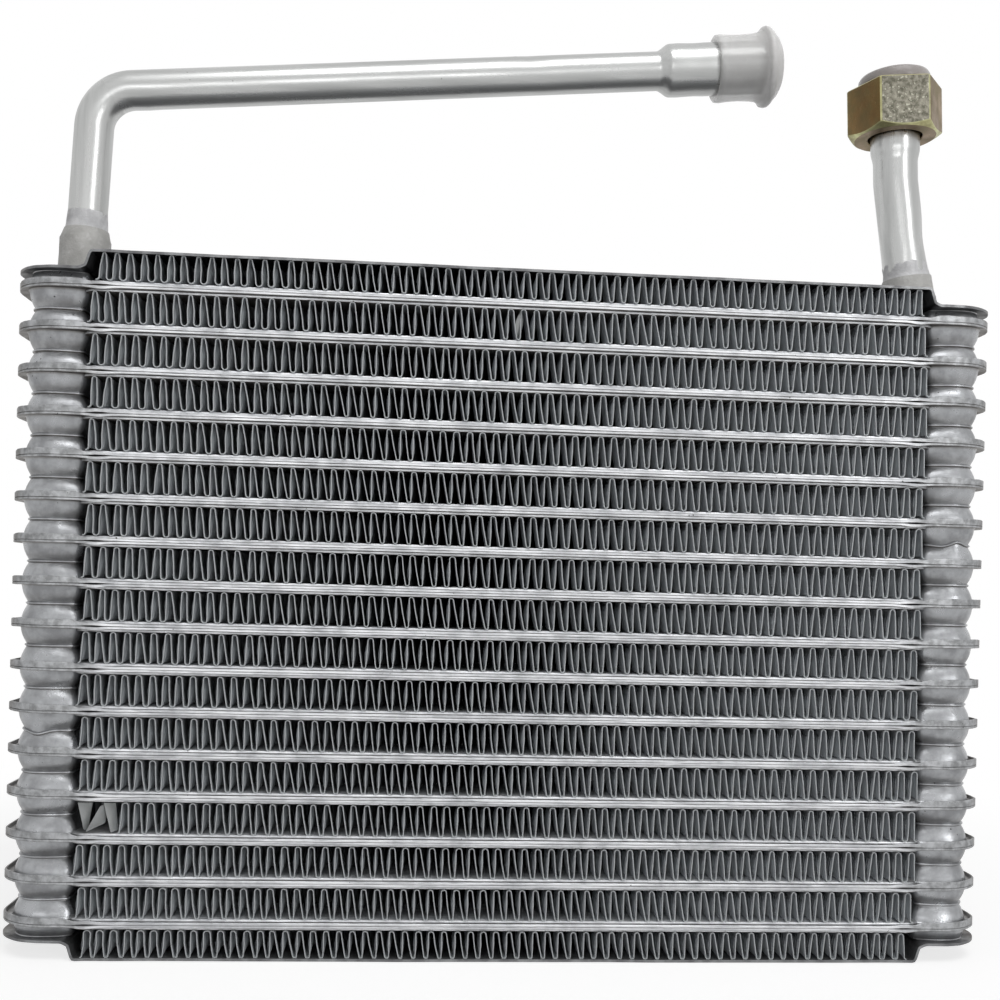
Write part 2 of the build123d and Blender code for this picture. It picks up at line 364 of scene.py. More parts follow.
class EffectLibrary:
    """Builds each shared shader group once."""

    FINER = 9.0
    CLUSTER_SCALE = 90.0
    LINE_TOP = 0.8
    LINE_SOFTNESS = 0.12

    def __init__(self) -> None:
        """Start with no groups."""
        self.trees: dict[Effect, bpy.types.NodeTree] = {}

    def tree(self, effect: Effect) -> bpy.types.NodeTree:
        """Give the group of an effect, built at its first use.

        Args:
            effect: which effect.

        Returns:
            The group's node tree.
        """
        if effect not in self.trees:
            makers = {
                Effect.MOTTLING: self.mottling,
                Effect.PITS: self.pits,
                Effect.SCRATCHES: self.scratches,
                Effect.PAINTED_UNDERSIDE_SHADE: self.underside_shade,
                Effect.PAINTED_INNER_SHADE: self.painted_inner_shade,
                Effect.FACING_OUT: self.facing_out,
                Effect.OUTWARD: self.outward,
            }
            self.trees[effect] = makers[effect]()
        return self.trees[effect]

    def blank(
        self, effect: Effect, inputs: dict[str, float], outputs: Sequence[str]
    ) -> tuple[bpy.types.NodeTree, bpy.types.Node, bpy.types.Node]:
        """Start a group with float sockets.

        Args:
            effect: which effect.
            inputs: names and first values of the inputs.
            outputs: names of the outputs.

        Returns:
            The tree, its input node and its output node.
        """
        tree = bpy.data.node_groups.new(effect.value, "ShaderNodeTree")
        for name, value in inputs.items():
            socket = tree.interface.new_socket(name, in_out="INPUT", socket_type="NodeSocketFloat")
            socket.default_value = value
        for name in outputs:
            tree.interface.new_socket(name, in_out="OUTPUT", socket_type="NodeSocketFloat")
        return tree, tree.nodes.new("NodeGroupInput"), tree.nodes.new("NodeGroupOutput")

    def stretched(
        self, tree: bpy.types.NodeTree, given: bpy.types.Node
    ) -> bpy.types.NodeSocket:
        """Object coordinates in millimetres, shrunk by the inputs Along X, Along Y and Along Z.

        Args:
            tree: the group.
            given: its input node.

        Returns:
            The socket of the scaled coordinates.
        """
        place = tree.nodes.new("ShaderNodeTexCoord")
        factors = tree.nodes.new("ShaderNodeCombineXYZ")
        for axis in "XYZ":
            tree.links.new(given.outputs[f"Along {axis}"], factors.inputs[axis])
        scale = tree.nodes.new("ShaderNodeVectorMath")
        scale.operation = "MULTIPLY"
        tree.links.new(place.outputs["Object"], scale.inputs[0])
        tree.links.new(factors.outputs[0], scale.inputs[1])
        return scale.outputs[0]

    def mapped(
        self,
        tree: bpy.types.NodeTree,
        value: bpy.types.NodeSocket,
        low: float | bpy.types.NodeSocket,
        high: float | bpy.types.NodeSocket,
    ) -> bpy.types.NodeSocket:
        """Map a value smoothly to 0 at low and 1 at high.

        Args:
            tree: the group.
            value: the value to map.
            low: where the result is 0.
            high: where the result is 1.

        Returns:
            The socket of the mapped value.
        """
        ramp = tree.nodes.new("ShaderNodeMapRange")
        ramp.interpolation_type = "SMOOTHSTEP"
        tree.links.new(value, ramp.inputs["Value"])
        for name, limit in (("From Min", low), ("From Max", high)):
            if isinstance(limit, bpy.types.NodeSocket):
                tree.links.new(limit, ramp.inputs[name])
            else:
                ramp.inputs[name].default_value = limit
        return ramp.outputs["Result"]

    def grain(
        self,
        tree: bpy.types.NodeTree,
        place: bpy.types.NodeSocket,
        scale: bpy.types.NodeSocket | float,
        detail: float,
    ) -> bpy.types.NodeSocket:
        """Noise over the given coordinates.

        Args:
            tree: the group.
            place: coordinates.
            scale: scale of the noise.
            detail: number of finer layers.

        Returns:
            The socket of the noise, about 0.3 to 0.7.
        """
        cloud = tree.nodes.new("ShaderNodeTexNoise")
        cloud.inputs["Detail"].default_value = detail
        cloud.inputs["Roughness"].default_value = 0.6
        tree.links.new(place, cloud.inputs["Vector"])
        if isinstance(scale, bpy.types.NodeSocket):
            tree.links.new(scale, cloud.inputs["Scale"])
        else:
            cloud.inputs["Scale"].default_value = scale
        return cloud.outputs["Fac"]

    def mottling(self) -> bpy.types.NodeTree:
        """Soft patches and a fine grain.

        Returns:
            The group's node tree.
        """
        spread = {"Scale": 200.0, "Along X": 1.0, "Along Y": 1.0, "Along Z": 1.0}
        tree, given, result = self.blank(Effect.MOTTLING, spread, ("Tone", "Grain"))
        place = self.stretched(tree, given)
        patches = self.grain(tree, place, given.outputs["Scale"], 5.0)
        tree.links.new(self.mapped(tree, patches, 0.32, 0.68), result.inputs["Tone"])
        finer = worked_out(tree, "MULTIPLY", given.outputs["Scale"], self.FINER)
        tree.links.new(self.grain(tree, place, finer, 2.0), result.inputs["Grain"])
        return tree

    def pits(self) -> bpy.types.NodeTree:
        """Scattered small pits, 1 inside a pit.

        Returns:
            The group's node tree.
        """
        spread = {"Scale": 400.0, "Share": 0.1, "Along X": 1.0, "Along Y": 1.0, "Along Z": 1.0}
        tree, given, result = self.blank(Effect.PITS, spread, ("Mask",))
        place = self.stretched(tree, given)
        cells = tree.nodes.new("ShaderNodeTexVoronoi")
        tree.links.new(place, cells.inputs["Vector"])
        tree.links.new(given.outputs["Scale"], cells.inputs["Scale"])
        chance = self.mapped(tree, self.grain(tree, place, self.CLUSTER_SCALE, 2.0), 0.5, 0.75)
        size = worked_out(tree, "MULTIPLY", chance, given.outputs["Share"])
        hole = worked_out(tree, "LESS_THAN", cells.outputs["Distance"], size)
        tree.links.new(hole, result.inputs["Mask"])
        return tree

    def scratches(self) -> bpy.types.NodeTree:
        """Thin drawn lines, 1 on a line.

        Returns:
            The group's node tree.
        """
        spread = {"Scale": 900.0, "Share": 0.3, "Along X": 1.0, "Along Y": 1.0, "Along Z": 1.0}
        tree, given, result = self.blank(Effect.SCRATCHES, spread, ("Mask",))
        place = self.stretched(tree, given)
        lines = self.grain(tree, place, given.outputs["Scale"], 3.0)
        edge = worked_out(tree, "SUBTRACT", self.LINE_TOP, given.outputs["Share"])
        full = worked_out(tree, "ADD", edge, self.LINE_SOFTNESS)
        tree.links.new(self.mapped(tree, lines, edge, full), result.inputs["Mask"])
        return tree

    def part(self, tree: bpy.types.NodeTree, kind: str, axis: str) -> bpy.types.NodeSocket:
        """One part of the point's place or of the surface's direction, in the part's frame.

        Args:
            tree: the group.
            kind: Object for the place, Normal for the direction.
            axis: X, Y or Z.

        Returns:
            The socket of that part.
        """
        place = tree.nodes.new("ShaderNodeTexCoord")
        split = tree.nodes.new("ShaderNodeSeparateXYZ")
        tree.links.new(place.outputs[kind], split.inputs[0])
        return split.outputs[axis]

    def underside_shade(self) -> bpy.types.NodeTree:
        """1 where the surface faces down, for painted shade on downward-facing surfaces.

        Returns:
            The group's node tree.
        """
        tree, _, result = self.blank(Effect.PAINTED_UNDERSIDE_SHADE, {}, ("Mask",))
        mask = self.mapped(tree, self.part(tree, "Normal", "Z"), -0.25, -0.9)
        tree.links.new(mask, result.inputs["Mask"])
        return tree

    def painted_inner_shade(self) -> bpy.types.NodeTree:
        """Mask for painted shade: 0 at the front and back faces of the core, 1 deep inside it.

        Returns:
            The group's node tree.
        """
        spread = {"Rim": 0.041, "Inside": 0.030}
        tree, given, result = self.blank(Effect.PAINTED_INNER_SHADE, spread, ("Mask",))
        depth = worked_out(tree, "ABSOLUTE", self.part(tree, "Object", "Y"))
        mask = self.mapped(tree, depth, given.outputs["Rim"], given.outputs["Inside"])
        tree.links.new(mask, result.inputs["Mask"])
        return tree

    def facing_out(self) -> bpy.types.NodeTree:
        """1 where the surface faces straight out of the front or back of the core.

        Returns:
            The group's node tree.
        """
        tree, _, result = self.blank(Effect.FACING_OUT, {}, ("Mask",))
        depth = worked_out(tree, "ABSOLUTE", self.part(tree, "Normal", "Y"))
        tree.links.new(self.mapped(tree, depth, 0.75, 0.97), result.inputs["Mask"])
        return tree

    def outward(self) -> bpy.types.NodeTree:
        """0 up to one distance from the middle of the core along its tubes, 1 past another.

        Returns:
            The group's node tree.
        """
        spread = {"Start": 0.12, "End": 0.13}
        tree, given, result = self.blank(Effect.OUTWARD, spread, ("Mask",))
        reach = worked_out(tree, "ABSOLUTE", self.part(tree, "Object", "X"))
        mask = self.mapped(tree, reach, given.outputs["Start"], given.outputs["End"])
        tree.links.new(mask, result.inputs["Mask"])
        return tree


EFFECTS = EffectLibrary()


class Dressing:
    """Node tree of one material, with short ways to add nodes."""

    def __init__(self, name: str) -> None:
        """Start a material with a Principled shader.

        Args:
            name: name of the material.
        """
        self.material = bpy.data.materials.new(name)
        self.material.use_nodes = True
        self.tree = self.material.node_tree
        self.shader = self.tree.nodes["Principled BSDF"]

    def plain(self, **values: float) -> None:
        """Set sockets of the shader that stay the same all over, with _ for each space."""
        for name, value in values.items():
            self.shader.inputs[name.replace("_", " ")].default_value = value

    def effect(self, effect: Effect, output: str, **values: float) -> bpy.types.NodeSocket:
        """Place a shared effect.

        Args:
            effect: which effect.
            output: the output that is wanted.
            values: inputs to set, with _ for each space.

        Returns:
            The wanted output.
        """
        node = self.tree.nodes.new("ShaderNodeGroup")
        node.node_tree = EFFECTS.tree(effect)
        for name, value in values.items():
            node.inputs[name.replace("_", " ")].default_value = value
        return node.outputs[output]

    def blend(
        self,
        first: Colour | bpy.types.NodeSocket,
        second: Colour | bpy.types.NodeSocket,
        mask: bpy.types.NodeSocket,
    ) -> bpy.types.NodeSocket:
        """Colour that goes from the first to the second with a mask.

        Args:
            first: colour where the mask is 0.
            second: colour where the mask is 1.
            mask: the mask.

        Returns:
            The mixed colour.
        """
        mix = self.tree.nodes.new("ShaderNodeMix")
        mix.data_type = "RGBA"
        self.tree.links.new(mask, mix.inputs["Factor"])
        for name, colour in (("A", first), ("B", second)):
            socket = next(s for s in mix.inputs if s.name == name and s.type == "RGBA")
            if isinstance(colour, bpy.types.NodeSocket):
                self.tree.links.new(colour, socket)
            else:
                socket.default_value = (*colour, 1.0)
        return next(s for s in mix.outputs if s.type == "RGBA")

    def level(self, mask: bpy.types.NodeSocket, low: float, high: float) -> bpy.types.NodeSocket:
        """Value that goes from low to high with a mask.

        Args:
            mask: the mask.
            low: value where the mask is 0.
            high: value where the mask is 1.

        Returns:
            The socket of the value.
        """
        ramp = self.tree.nodes.new("ShaderNodeMapRange")
        ramp.inputs["To Min"].default_value = low
        ramp.inputs["To Max"].default_value = high
        self.tree.links.new(mask, ramp.inputs["Value"])
        return ramp.outputs["Result"]

    def combine(
        self, operation: str, first: bpy.types.NodeSocket, second: bpy.types.NodeSocket | float
    ) -> bpy.types.NodeSocket:
        """Result of a math node on two values."""
        return worked_out(self.tree, operation, first, second)

    def feed(self, name: str, source: bpy.types.NodeSocket) -> None:
        """Link a source to a socket of the shader."""
        self.tree.links.new(source, self.shader.inputs[name])

    def relief(self, height: bpy.types.NodeSocket, depth: float, strength: float = 1.0) -> None:
        """Bump the surface.

        Args:
            height: height from 0 to 1.
            depth: what a height of 1 stands for, in millimetres.
            strength: how strongly the bump acts.
        """
        bump = self.tree.nodes.new("ShaderNodeBump")
        bump.inputs["Distance"].default_value = depth * MILLIMETRE
        bump.inputs["Strength"].default_value = strength
        self.tree.links.new(height, bump.inputs["Height"])
        self.feed("Normal", bump.outputs["Normal"])


# Finishes


@dataclass(frozen=True)
class SheetFinish:
    """Satin aluminium sheet after brazing, with pits, and with painted shade on surfaces that face
    down and at the outer flange tips.
    """

    name: str
    light: Colour = (0.60, 0.61, 0.63)
    dark: Colour = (0.40, 0.41, 0.43)
    # Painted shade: colour laid on surfaces that face down.
    painted_underside_shade: Colour = (0.14, 0.12, 0.10)
    pit: Colour = (0.05, 0.05, 0.05)
    line: Colour = (0.86, 0.87, 0.89)
    matte_dark: Colour = (0.25, 0.255, 0.26)
    matte_light: Colour = (0.50, 0.51, 0.525)
    # Painted shade: colour laid on the outer flange tips.
    painted_tip_shade: Colour = (0.085, 0.068, 0.055)
    metallic: float = 0.8
    smooth: float = 0.34
    rough: float = 0.52
    patch_scale: float = 160.0
    pit_share: float = 0.16
    streak: float = 0.0
    dull: float = 0.0
    # How strongly the painted shade is laid on the outer flange tips.
    tip_shade_amount: float = 0.7

    def material(self) -> bpy.types.Material:
        """Build the material.

        Returns:
            The new material.
        """
        work = Dressing(self.name)
        tone = work.effect(Effect.MOTTLING, "Tone", Scale=self.patch_scale)
        grain = work.effect(Effect.MOTTLING, "Grain", Scale=self.patch_scale)
        pits = work.effect(Effect.PITS, "Mask", Scale=520.0, Share=self.pit_share)
        # Painted shade: mask of the surfaces that face down.
        painted_underside_shade = work.effect(Effect.PAINTED_UNDERSIDE_SHADE, "Mask")
        colour = work.blend(self.dark, self.light, tone)
        if self.streak:
            lines = work.effect(
                Effect.SCRATCHES, "Mask", Scale=900.0, Share=self.streak, Along_X=0.06
            )
            colour = work.blend(colour, self.line, lines)
        if self.dull:
            flecks = work.effect(Effect.MOTTLING, "Tone", Scale=430.0)
            matte = work.blend(self.matte_dark, self.matte_light, flecks)
            tanks = work.effect(Effect.OUTWARD, "Mask", Start=0.121, End=0.131)
            colour = work.blend(colour, matte, work.level(tanks, 0.0, self.dull))
        # Painted shade: the outer tips past 146.5 mm from the middle are darkened towards dark
        # brown.
        tip_shade_mask = work.effect(Effect.OUTWARD, "Mask", Start=0.1465, End=0.153)
        colour = work.blend(colour, self.painted_tip_shade, work.level(tip_shade_mask, 0.0, self.tip_shade_amount))
        # Painted shade: surfaces that face down are darkened towards a warm near-black.
        colour = work.blend(colour, self.painted_underside_shade, work.level(painted_underside_shade, 0.0, 0.85))
        work.feed("Base Color", work.blend(colour, self.pit, pits))
        work.feed("Roughness", work.level(tone, self.rough, self.smooth))
        height = work.combine("SUBTRACT", grain, pits)
        work.relief(height, 0.07, 0.6)
        work.plain(Metallic=self.metallic)
        return work.material


@dataclass(frozen=True)
class FinFinish:
    """Thin fin strip: bright cut edge, grey faces, and painted shade that darkens it deep inside
    the core.
    """

    name: str
    face: Colour = (0.66, 0.69, 0.71)
    worn: Colour = (0.43, 0.45, 0.47)
    edge: Colour = (0.48, 0.50, 0.51)
    # Painted shade: near-black colour of the fins deep inside the core.
    inside: Colour = (0.012, 0.012, 0.013)
    metallic: float = 0.1
    roughness: float = 0.45

    def material(self) -> bpy.types.Material:
        """Build the material.

        Returns:
            The new material.
        """
        work = Dressing(self.name)
        tone = work.effect(Effect.MOTTLING, "Tone", Scale=260.0, Along_Z=0.35)
        grain = work.effect(Effect.MOTTLING, "Grain", Scale=260.0)
        edge = work.effect(Effect.FACING_OUT, "Mask")
        # Painted shade: the fins fade to near black deep inside the core.
        deep = work.effect(Effect.PAINTED_INNER_SHADE, "Mask", Rim=0.037, Inside=0.022)
        colour = work.blend(self.worn, self.face, tone)
        colour = work.blend(colour, self.edge, edge)
        work.feed("Base Color", work.blend(colour, self.inside, deep))
        work.feed("Roughness", work.level(tone, self.roughness + 0.12, self.roughness))
        work.relief(grain, 0.03, 0.5)
        work.plain(Metallic=self.metallic)
        return work.material


@dataclass(frozen=True)
class PipeFinish:
    """Drawn aluminium tube: glossy, with fine lines along it and a few specks."""

    name: str
    light: Colour = (0.50, 0.505, 0.50)
    dark: Colour = (0.41, 0.415, 0.41)
    mark: Colour = (0.10, 0.10, 0.09)
    along: tuple[float, float, float] = (0.05, 1.0, 1.0)
    metallic: float = 1.0
    smooth: float = 0.25
    rough: float = 0.37

    def material(self) -> bpy.types.Material:
        """Build the material.

        Returns:
            The new material.
        """
        work = Dressing(self.name)
        stretch = dict(zip(("Along_X", "Along_Y", "Along_Z"), self.along))
        tone = work.effect(Effect.MOTTLING, "Tone", Scale=220.0, **stretch)
        grain = work.effect(Effect.MOTTLING, "Grain", Scale=150.0)
        lines = work.effect(Effect.SCRATCHES, "Mask", Scale=700.0, Share=0.24, **stretch)
        specks = work.effect(Effect.PITS, "Mask", Scale=330.0, Share=0.12)
        colour = work.blend(self.dark, self.light, tone)
        colour = work.blend(colour, self.dark, work.level(lines, 0.0, 0.35))
        work.feed("Base Color", work.blend(colour, self.mark, specks))
        work.feed("Roughness", work.level(tone, self.rough, self.smooth))
        work.relief(grain, 0.04, 0.4)
        work.plain(Metallic=self.metallic)
        return work.material


@dataclass(frozen=True)
class BrazedFinish:
    """Matte warm collar with flux residue."""

    name: str
    light: Colour = (0.47, 0.465, 0.45)
    dark: Colour = (0.40, 0.395, 0.38)
    crust: Colour = (0.66, 0.66, 0.65)

    def material(self) -> bpy.types.Material:
        """Build the material.

        Returns:
            The new material.
        """
        work = Dressing(self.name)
        tone = work.effect(Effect.MOTTLING, "Tone", Scale=190.0)
        grain = work.effect(Effect.MOTTLING, "Grain", Scale=120.0)
        crust = work.effect(Effect.SCRATCHES, "Mask", Scale=420.0, Share=0.26)
        colour = work.blend(self.dark, self.light, tone)
        work.feed("Base Color", work.blend(colour, self.crust, work.level(crust, 0.0, 0.3)))
        work.feed("Roughness", work.level(tone, 0.72, 0.5))
        work.relief(grain, 0.22, 0.8)
        work.plain(Metallic=0.1)
        return work.material


@dataclass(frozen=True)
class ZincFinish:
    """Yellow zinc on steel, scratched by spanners."""

    name: str
    gold: Colour = (0.25, 0.15, 0.05)
    olive: Colour = (0.18, 0.14, 0.05)
    bare: Colour = (0.44, 0.43, 0.35)
    grey: Colour = (0.28, 0.265, 0.215)
    scored: Colour = (0.10, 0.095, 0.07)
    stain: Colour = (0.12, 0.07, 0.028)
    rubbed: Colour = (0.62, 0.62, 0.33)
    worn: bool = False

    def material(self) -> bpy.types.Material:
        """Build the material.

        Returns:
            The new material.
        """
        work = Dressing(self.name)
        tone = work.effect(Effect.MOTTLING, "Tone", Scale=170.0)
        stain = work.effect(Effect.MOTTLING, "Tone", Scale=75.0, Along_Z=0.5)
        grain = work.effect(Effect.MOTTLING, "Grain", Scale=150.0)
        rubs = work.effect(Effect.SCRATCHES, "Mask", Scale=950.0, Share=0.23)
        front = work.effect(Effect.FACING_OUT, "Mask")
        colour = work.blend(self.olive, self.gold, tone)
        colour = work.blend(self.stain, colour, work.level(stain, 0.45, 1.0))
        scores = work.effect(Effect.MOTTLING, "Tone", Scale=760.0)
        worked = work.blend(work.blend(self.scored, self.grey, scores), self.bare, rubs)
        colour = work.blend(colour, worked, front)
        if self.worn:
            colour = work.blend(colour, self.rubbed, work.level(tone, 0.35, 1.0))
        work.feed("Base Color", colour)
        work.feed("Roughness", work.level(tone, 0.48, 0.3))
        work.relief(work.combine("SUBTRACT", grain, rubs), 0.05, 0.5)
        work.plain(Metallic=0.7)
        return work.material


@dataclass(frozen=True)
class MilkyFinish:
    """Soft milky plastic, thin enough over a sleeve to let the shape behind it show."""

    name: str
    light: Colour = (0.92, 0.91, 0.90)
    dark: Colour = (0.80, 0.79, 0.78)
    thin: float = 0.55
    thick: float = 0.85
    solid_from: float = 0.0835
    solid_at: float = 0.0865
    roughness: float = 0.2

    def material(self) -> bpy.types.Material:
        """Build the material.

        Returns:
            The new material.
        """
        work = Dressing(self.name)
        tone = work.effect(Effect.MOTTLING, "Tone", Scale=80.0)
        grain = work.effect(Effect.MOTTLING, "Grain", Scale=40.0)
        solid = work.effect(Effect.OUTWARD, "Mask", Start=self.solid_from, End=self.solid_at)
        work.feed("Base Color", work.blend(self.dark, self.light, tone))
        work.feed("Roughness", work.level(tone, self.roughness + 0.1, self.roughness))
        work.feed("Alpha", work.level(solid, self.thin, self.thick))
        work.relief(grain, 0.02, 0.3)
        work.plain(IOR=1.45)
        return work.material


class Wardrobe:
    """All materials of the core, each built once."""

    def __init__(self) -> None:
        """Build all materials."""
        self.tube = SheetFinish(
            "tube_sheet",
            light=(0.74, 0.75, 0.77),
            dark=(0.5, 0.51, 0.53),
            metallic=0.4,
            streak=0.3,
            dull=1.0,
        ).material()
        self.tank = SheetFinish(
            "tank_sheet",
            light=(0.43, 0.44, 0.455),
            dark=(0.27, 0.275, 0.285),
            metallic=0.7,
            smooth=0.26,
            rough=0.42,
        ).material()
        # Painted shade: the end sheet's colours are dark grey and its underside colour near black,
        # standing in for the shade on the end plates' edges and undersides.
        self.end = SheetFinish(
            "end_sheet",
            light=(0.25, 0.255, 0.26),
            dark=(0.12, 0.12, 0.125),
            painted_underside_shade=(0.025, 0.025, 0.027),
        ).material()
        self.fin = FinFinish("fin_strip").material()
        self.bent_fin = FinFinish(
            "bent_fin_strip",
            face=(0.33, 0.345, 0.345),
            worn=(0.18, 0.19, 0.19),
            edge=(0.36, 0.37, 0.37),
        ).material()
        self.run_pipe = PipeFinish("drawn_pipe").material()
        self.stand_pipe = PipeFinish("standing_pipe", along=(1.0, 1.0, 0.06)).material()
        self.collar = BrazedFinish("brazed_collar").material()
        self.smear = BrazedFinish(
            "braze_smear",
            light=(0.66, 0.66, 0.67),
            dark=(0.52, 0.52, 0.53),
            crust=(0.75, 0.75, 0.75),
        ).material()
        self.zinc = ZincFinish("yellow_zinc").material()
        self.zinc_edge = ZincFinish("yellow_zinc_edge", worn=True).material()
        self.cap = MilkyFinish("milky_cap").material()
        self.plug = MilkyFinish(
            "pink_plug",
            light=(0.42, 0.39, 0.375),
            dark=(0.35, 0.32, 0.31),
            thin=1.0,
            thick=1.0,
        ).material()


@dataclass(frozen=True)
class CoreSizes:
    """Sizes of the core that several sub-assemblies share, in millimetres."""

    tubes: int = 16
    tube_thickness: float = 3.2
    fin_height: float = 9.5
    end_fin_height: float = 8.4
    half_depth: float = 45.0
    fin_row_half: float = 129.7
    end_fin_row_half: float = 127.5
    sheet: float = 0.6
    end_sheet: float = 0.8
    cup_x: float = 140.2
    cup_half: float = 9.2
    end_x: float = 152.9
    pressed_half_depth: float = 41.5
    cup_corner: float = 8.5
    end_corner: float = 15.0
    end_cup_height: float = 4.8
    first_tube_z: float = 10.8

    @property
    def pitch(self) -> float:
        """Height from one tube to the next."""
        return self.tube_thickness + self.fin_height

    def tube_z(self, number: int) -> float:
        """Middle height of a tube, numbered from 1 at the bottom."""
        return self.first_tube_z + (number - 1) * self.pitch

    @property
    def deck_z(self) -> float:
        """Top of the upper end plate over the tanks."""
        return self.tube_z(self.tubes) + self.end_cup_height + self.end_sheet


SIZES = CoreSizes()


def finish_piece(
    piece: bpy.types.Object,
    body: Body,
    slot: Slot,
    materials: Sequence[bpy.types.Material],
    *nodes: str,
) -> None:
    """Dress a piece and tie it to the frame.

    Args:
        piece: the object.
        body: the body that it rides on.
        slot: not used.
        materials: its materials, in slot order.
        nodes: CAD nodes that it stands for.
    """
    for material in materials:
        piece.data.materials.append(material)
    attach(piece, body.value)
    if nodes:
        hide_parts(*nodes)
    log.info("%s: %d faces", piece.name, len(piece.data.polygons))


# Fins


@dataclass
class Leg:
    """One leg of a fin wave, as (x, z) points from one crest to the next."""

    line: list[tuple[float, float]]
    rising: bool


@dataclass
class FinBank:
    """The 17 rows of corrugated, louvred fin."""

    sizes: CoreSizes
    material: bpy.types.Material
    bent_material: bpy.types.Material
    waves: int = 64
    half_depth: float = 44.2
    strip: float = 0.3
    margin: float = 1.0
    slats: int = 5
    slat_pitch: float = 1.9
    rising_tilt: float = 0.62
    falling_tilt: float = 0.1
    bow: float = 2.75
    bow_steps: int = 6
    crushed_row: int = 4
    crushed_waves: int = 3
    turns: tuple[float, ...] = (30.0, 58.0, 84.0)
    crest_radius: float = 0.68
    crest_jitter: float = 0.16
    leg_bend: float = 0.08
    first_seed: int = 700
    end_fade: float = 7.0

    @property
    def leg_step(self) -> int:
        """Points from one crest to the next."""
        return 2 * len(self.turns) + 2

    def row_levels(self, number: int) -> tuple[float, float]:
        """Bottom and top of a row.

        Args:
            number: the row, from 1 at the bottom.

        Returns:
            The two heights.
        """
        if number == 1:
            return self.sizes.end_sheet, self.sizes.end_sheet + self.sizes.end_fin_height
        low = self.sizes.tube_z(number - 1) + self.sizes.tube_thickness / 2
        outermost = number == self.sizes.tubes + 1
        tall = self.sizes.end_fin_height if outermost else self.sizes.fin_height
        return low, low + tall

    def crest_places(self, number: int, dice: random.Random) -> list[tuple[float, float]]:
        """X and rounding radius of each crest of a row, bottom crests first.

        Args:
            number: the row.
            dice: source of the row's small differences.

        Returns:
            (x, radius) for each crest.
        """
        outermost = number in (1, self.sizes.tubes + 1)
        half = self.sizes.end_fin_row_half if outermost else self.sizes.fin_row_half
        start, stop = -half + dice.uniform(0.0, 0.8), half - dice.uniform(0.0, 1.4)
        pitch = (stop - start) / self.waves
        lean = dice.uniform(-0.05, 0.05)
        swing = dice.uniform(0, 6)
        foot_swell = -0.12 + 0.5 * number / self.sizes.tubes
        top_swell = 0.38 - 0.5 * number / self.sizes.tubes
        crests = []
        for i in range(2 * self.waves + 1):
            share = i / (2 * self.waves)
            even = ease(abs(share - 0.46), 0.2, 0.48)
            skew = 0.36 + lean + 0.04 * math.sin(swing + 9 * share)
            part = skew + (0.5 - skew) * even
            x = start + pitch * (i // 2 + (part if i % 2 else 0.0))
            left, centre = ease(share, 0.36, 0.1), hump(share, 0.46, 0.2)
            top = 0.2 * centre + top_swell * left
            foot = foot_swell * left - 0.06 * centre
            radius = self.crest_radius + (top if i % 2 else foot)
            radius += 0.25 * ease(share, 0.94, 0.985)
            radius += dice.uniform(-0.06, 0.08)
            x += dice.uniform(-self.crest_jitter, self.crest_jitter) * (1 + 0.9 * left)
            crests.append((x, radius))
        return crests

    def legs(self, number: int, dice: random.Random) -> list[Leg]:
        """Legs of a row.

        Args:
            number: the row.
            dice: source of the row's small differences.

        Returns:
            The legs from left to right.
        """
        low, high = self.row_levels(number)
        half = self.strip / 2
        crests = self.crest_places(number, dice)
        legs = []
        for i, ((x0, r0), (x1, r1)) in enumerate(zip(crests, crests[1:])):
            rising = i % 2 == 0
            z0, z1 = (low + half, high - half) if rising else (high - half, low + half)
            up = 1.0 if rising else -1.0
            room = 0.94 * (x1 - x0) / max(x1 - x0, r0 + r1)
            r0, r1 = r0 * room, r1 * room
            line = [(x0, z0)]
            for turn in self.turns:
                angle = math.radians(turn)
                line.append((x0 + r0 * math.sin(angle), z0 + up * r0 * (1 - math.cos(angle))))
            bend = dice.uniform(-self.leg_bend, self.leg_bend)
            line.append(((x0 + x1) / 2 + bend, (z0 + z1) / 2))
            for turn in reversed(self.turns):
                angle = math.radians(turn)
                line.append((x1 - r1 * math.sin(angle), z1 - up * r1 * (1 - math.cos(angle))))
            line.append((x1, z1))
            legs.append(Leg(line, rising))
        return legs

    def edge_strip(
        self, mould: Mould, line: list[tuple[float, float]], face: float, inner: float
    ) -> None:
        """Thick margin of the strip along a line.

        Args:
            mould: where the faces go.
            line: (x, z) points.
            face: Y of the cut edge.
            inner: Y where the margin ends.
        """
        rows: list[list[Point]] = [[], [], [], []]
        half = self.strip / 2
        for i, (x, z) in enumerate(line):
            ax, az = line[max(0, i - 1)]
            bx, bz = line[min(len(line) - 1, i + 1)]
            length = math.hypot(bx - ax, bz - az) or 1.0
            nx, nz = -(bz - az) / length * half, (bx - ax) / length * half
            rows[0].append((x + nx, inner, z + nz))
            rows[1].append((x + nx, face, z + nz))
            rows[2].append((x - nx, face, z - nz))
            rows[3].append((x - nx, inner, z - nz))
        mould.loft(rows, closed=False)

    def slat(self, mould: Mould, leg: Leg, middle: float, front: bool) -> None:
        """One louvre of a leg.

        Args:
            mould: where the faces go.
            leg: the leg.
            middle: Y of the louvre's middle.
            front: whether it lies in the front half of the core.
        """
        arc = len(self.turns)
        x0, z0 = leg.line[arc]
        x1, z1 = leg.line[arc + 2]
        side = (self.rising_tilt if leg.rising else -self.falling_tilt) * (1 if front else -1)
        near: list[Point] = []
        far: list[Point] = []
        for k in range(5):
            share = k / 4
            tilt = side * math.sin(math.pi * share) ** 0.7
            x = x0 + (x1 - x0) * share
            z = z0 + (z1 - z0) * share
            near.append((x - tilt, middle - self.slat_pitch * 0.48, z))
            far.append((x + tilt, middle + self.slat_pitch * 0.48, z))
        mould.loft([near, far], closed=False)

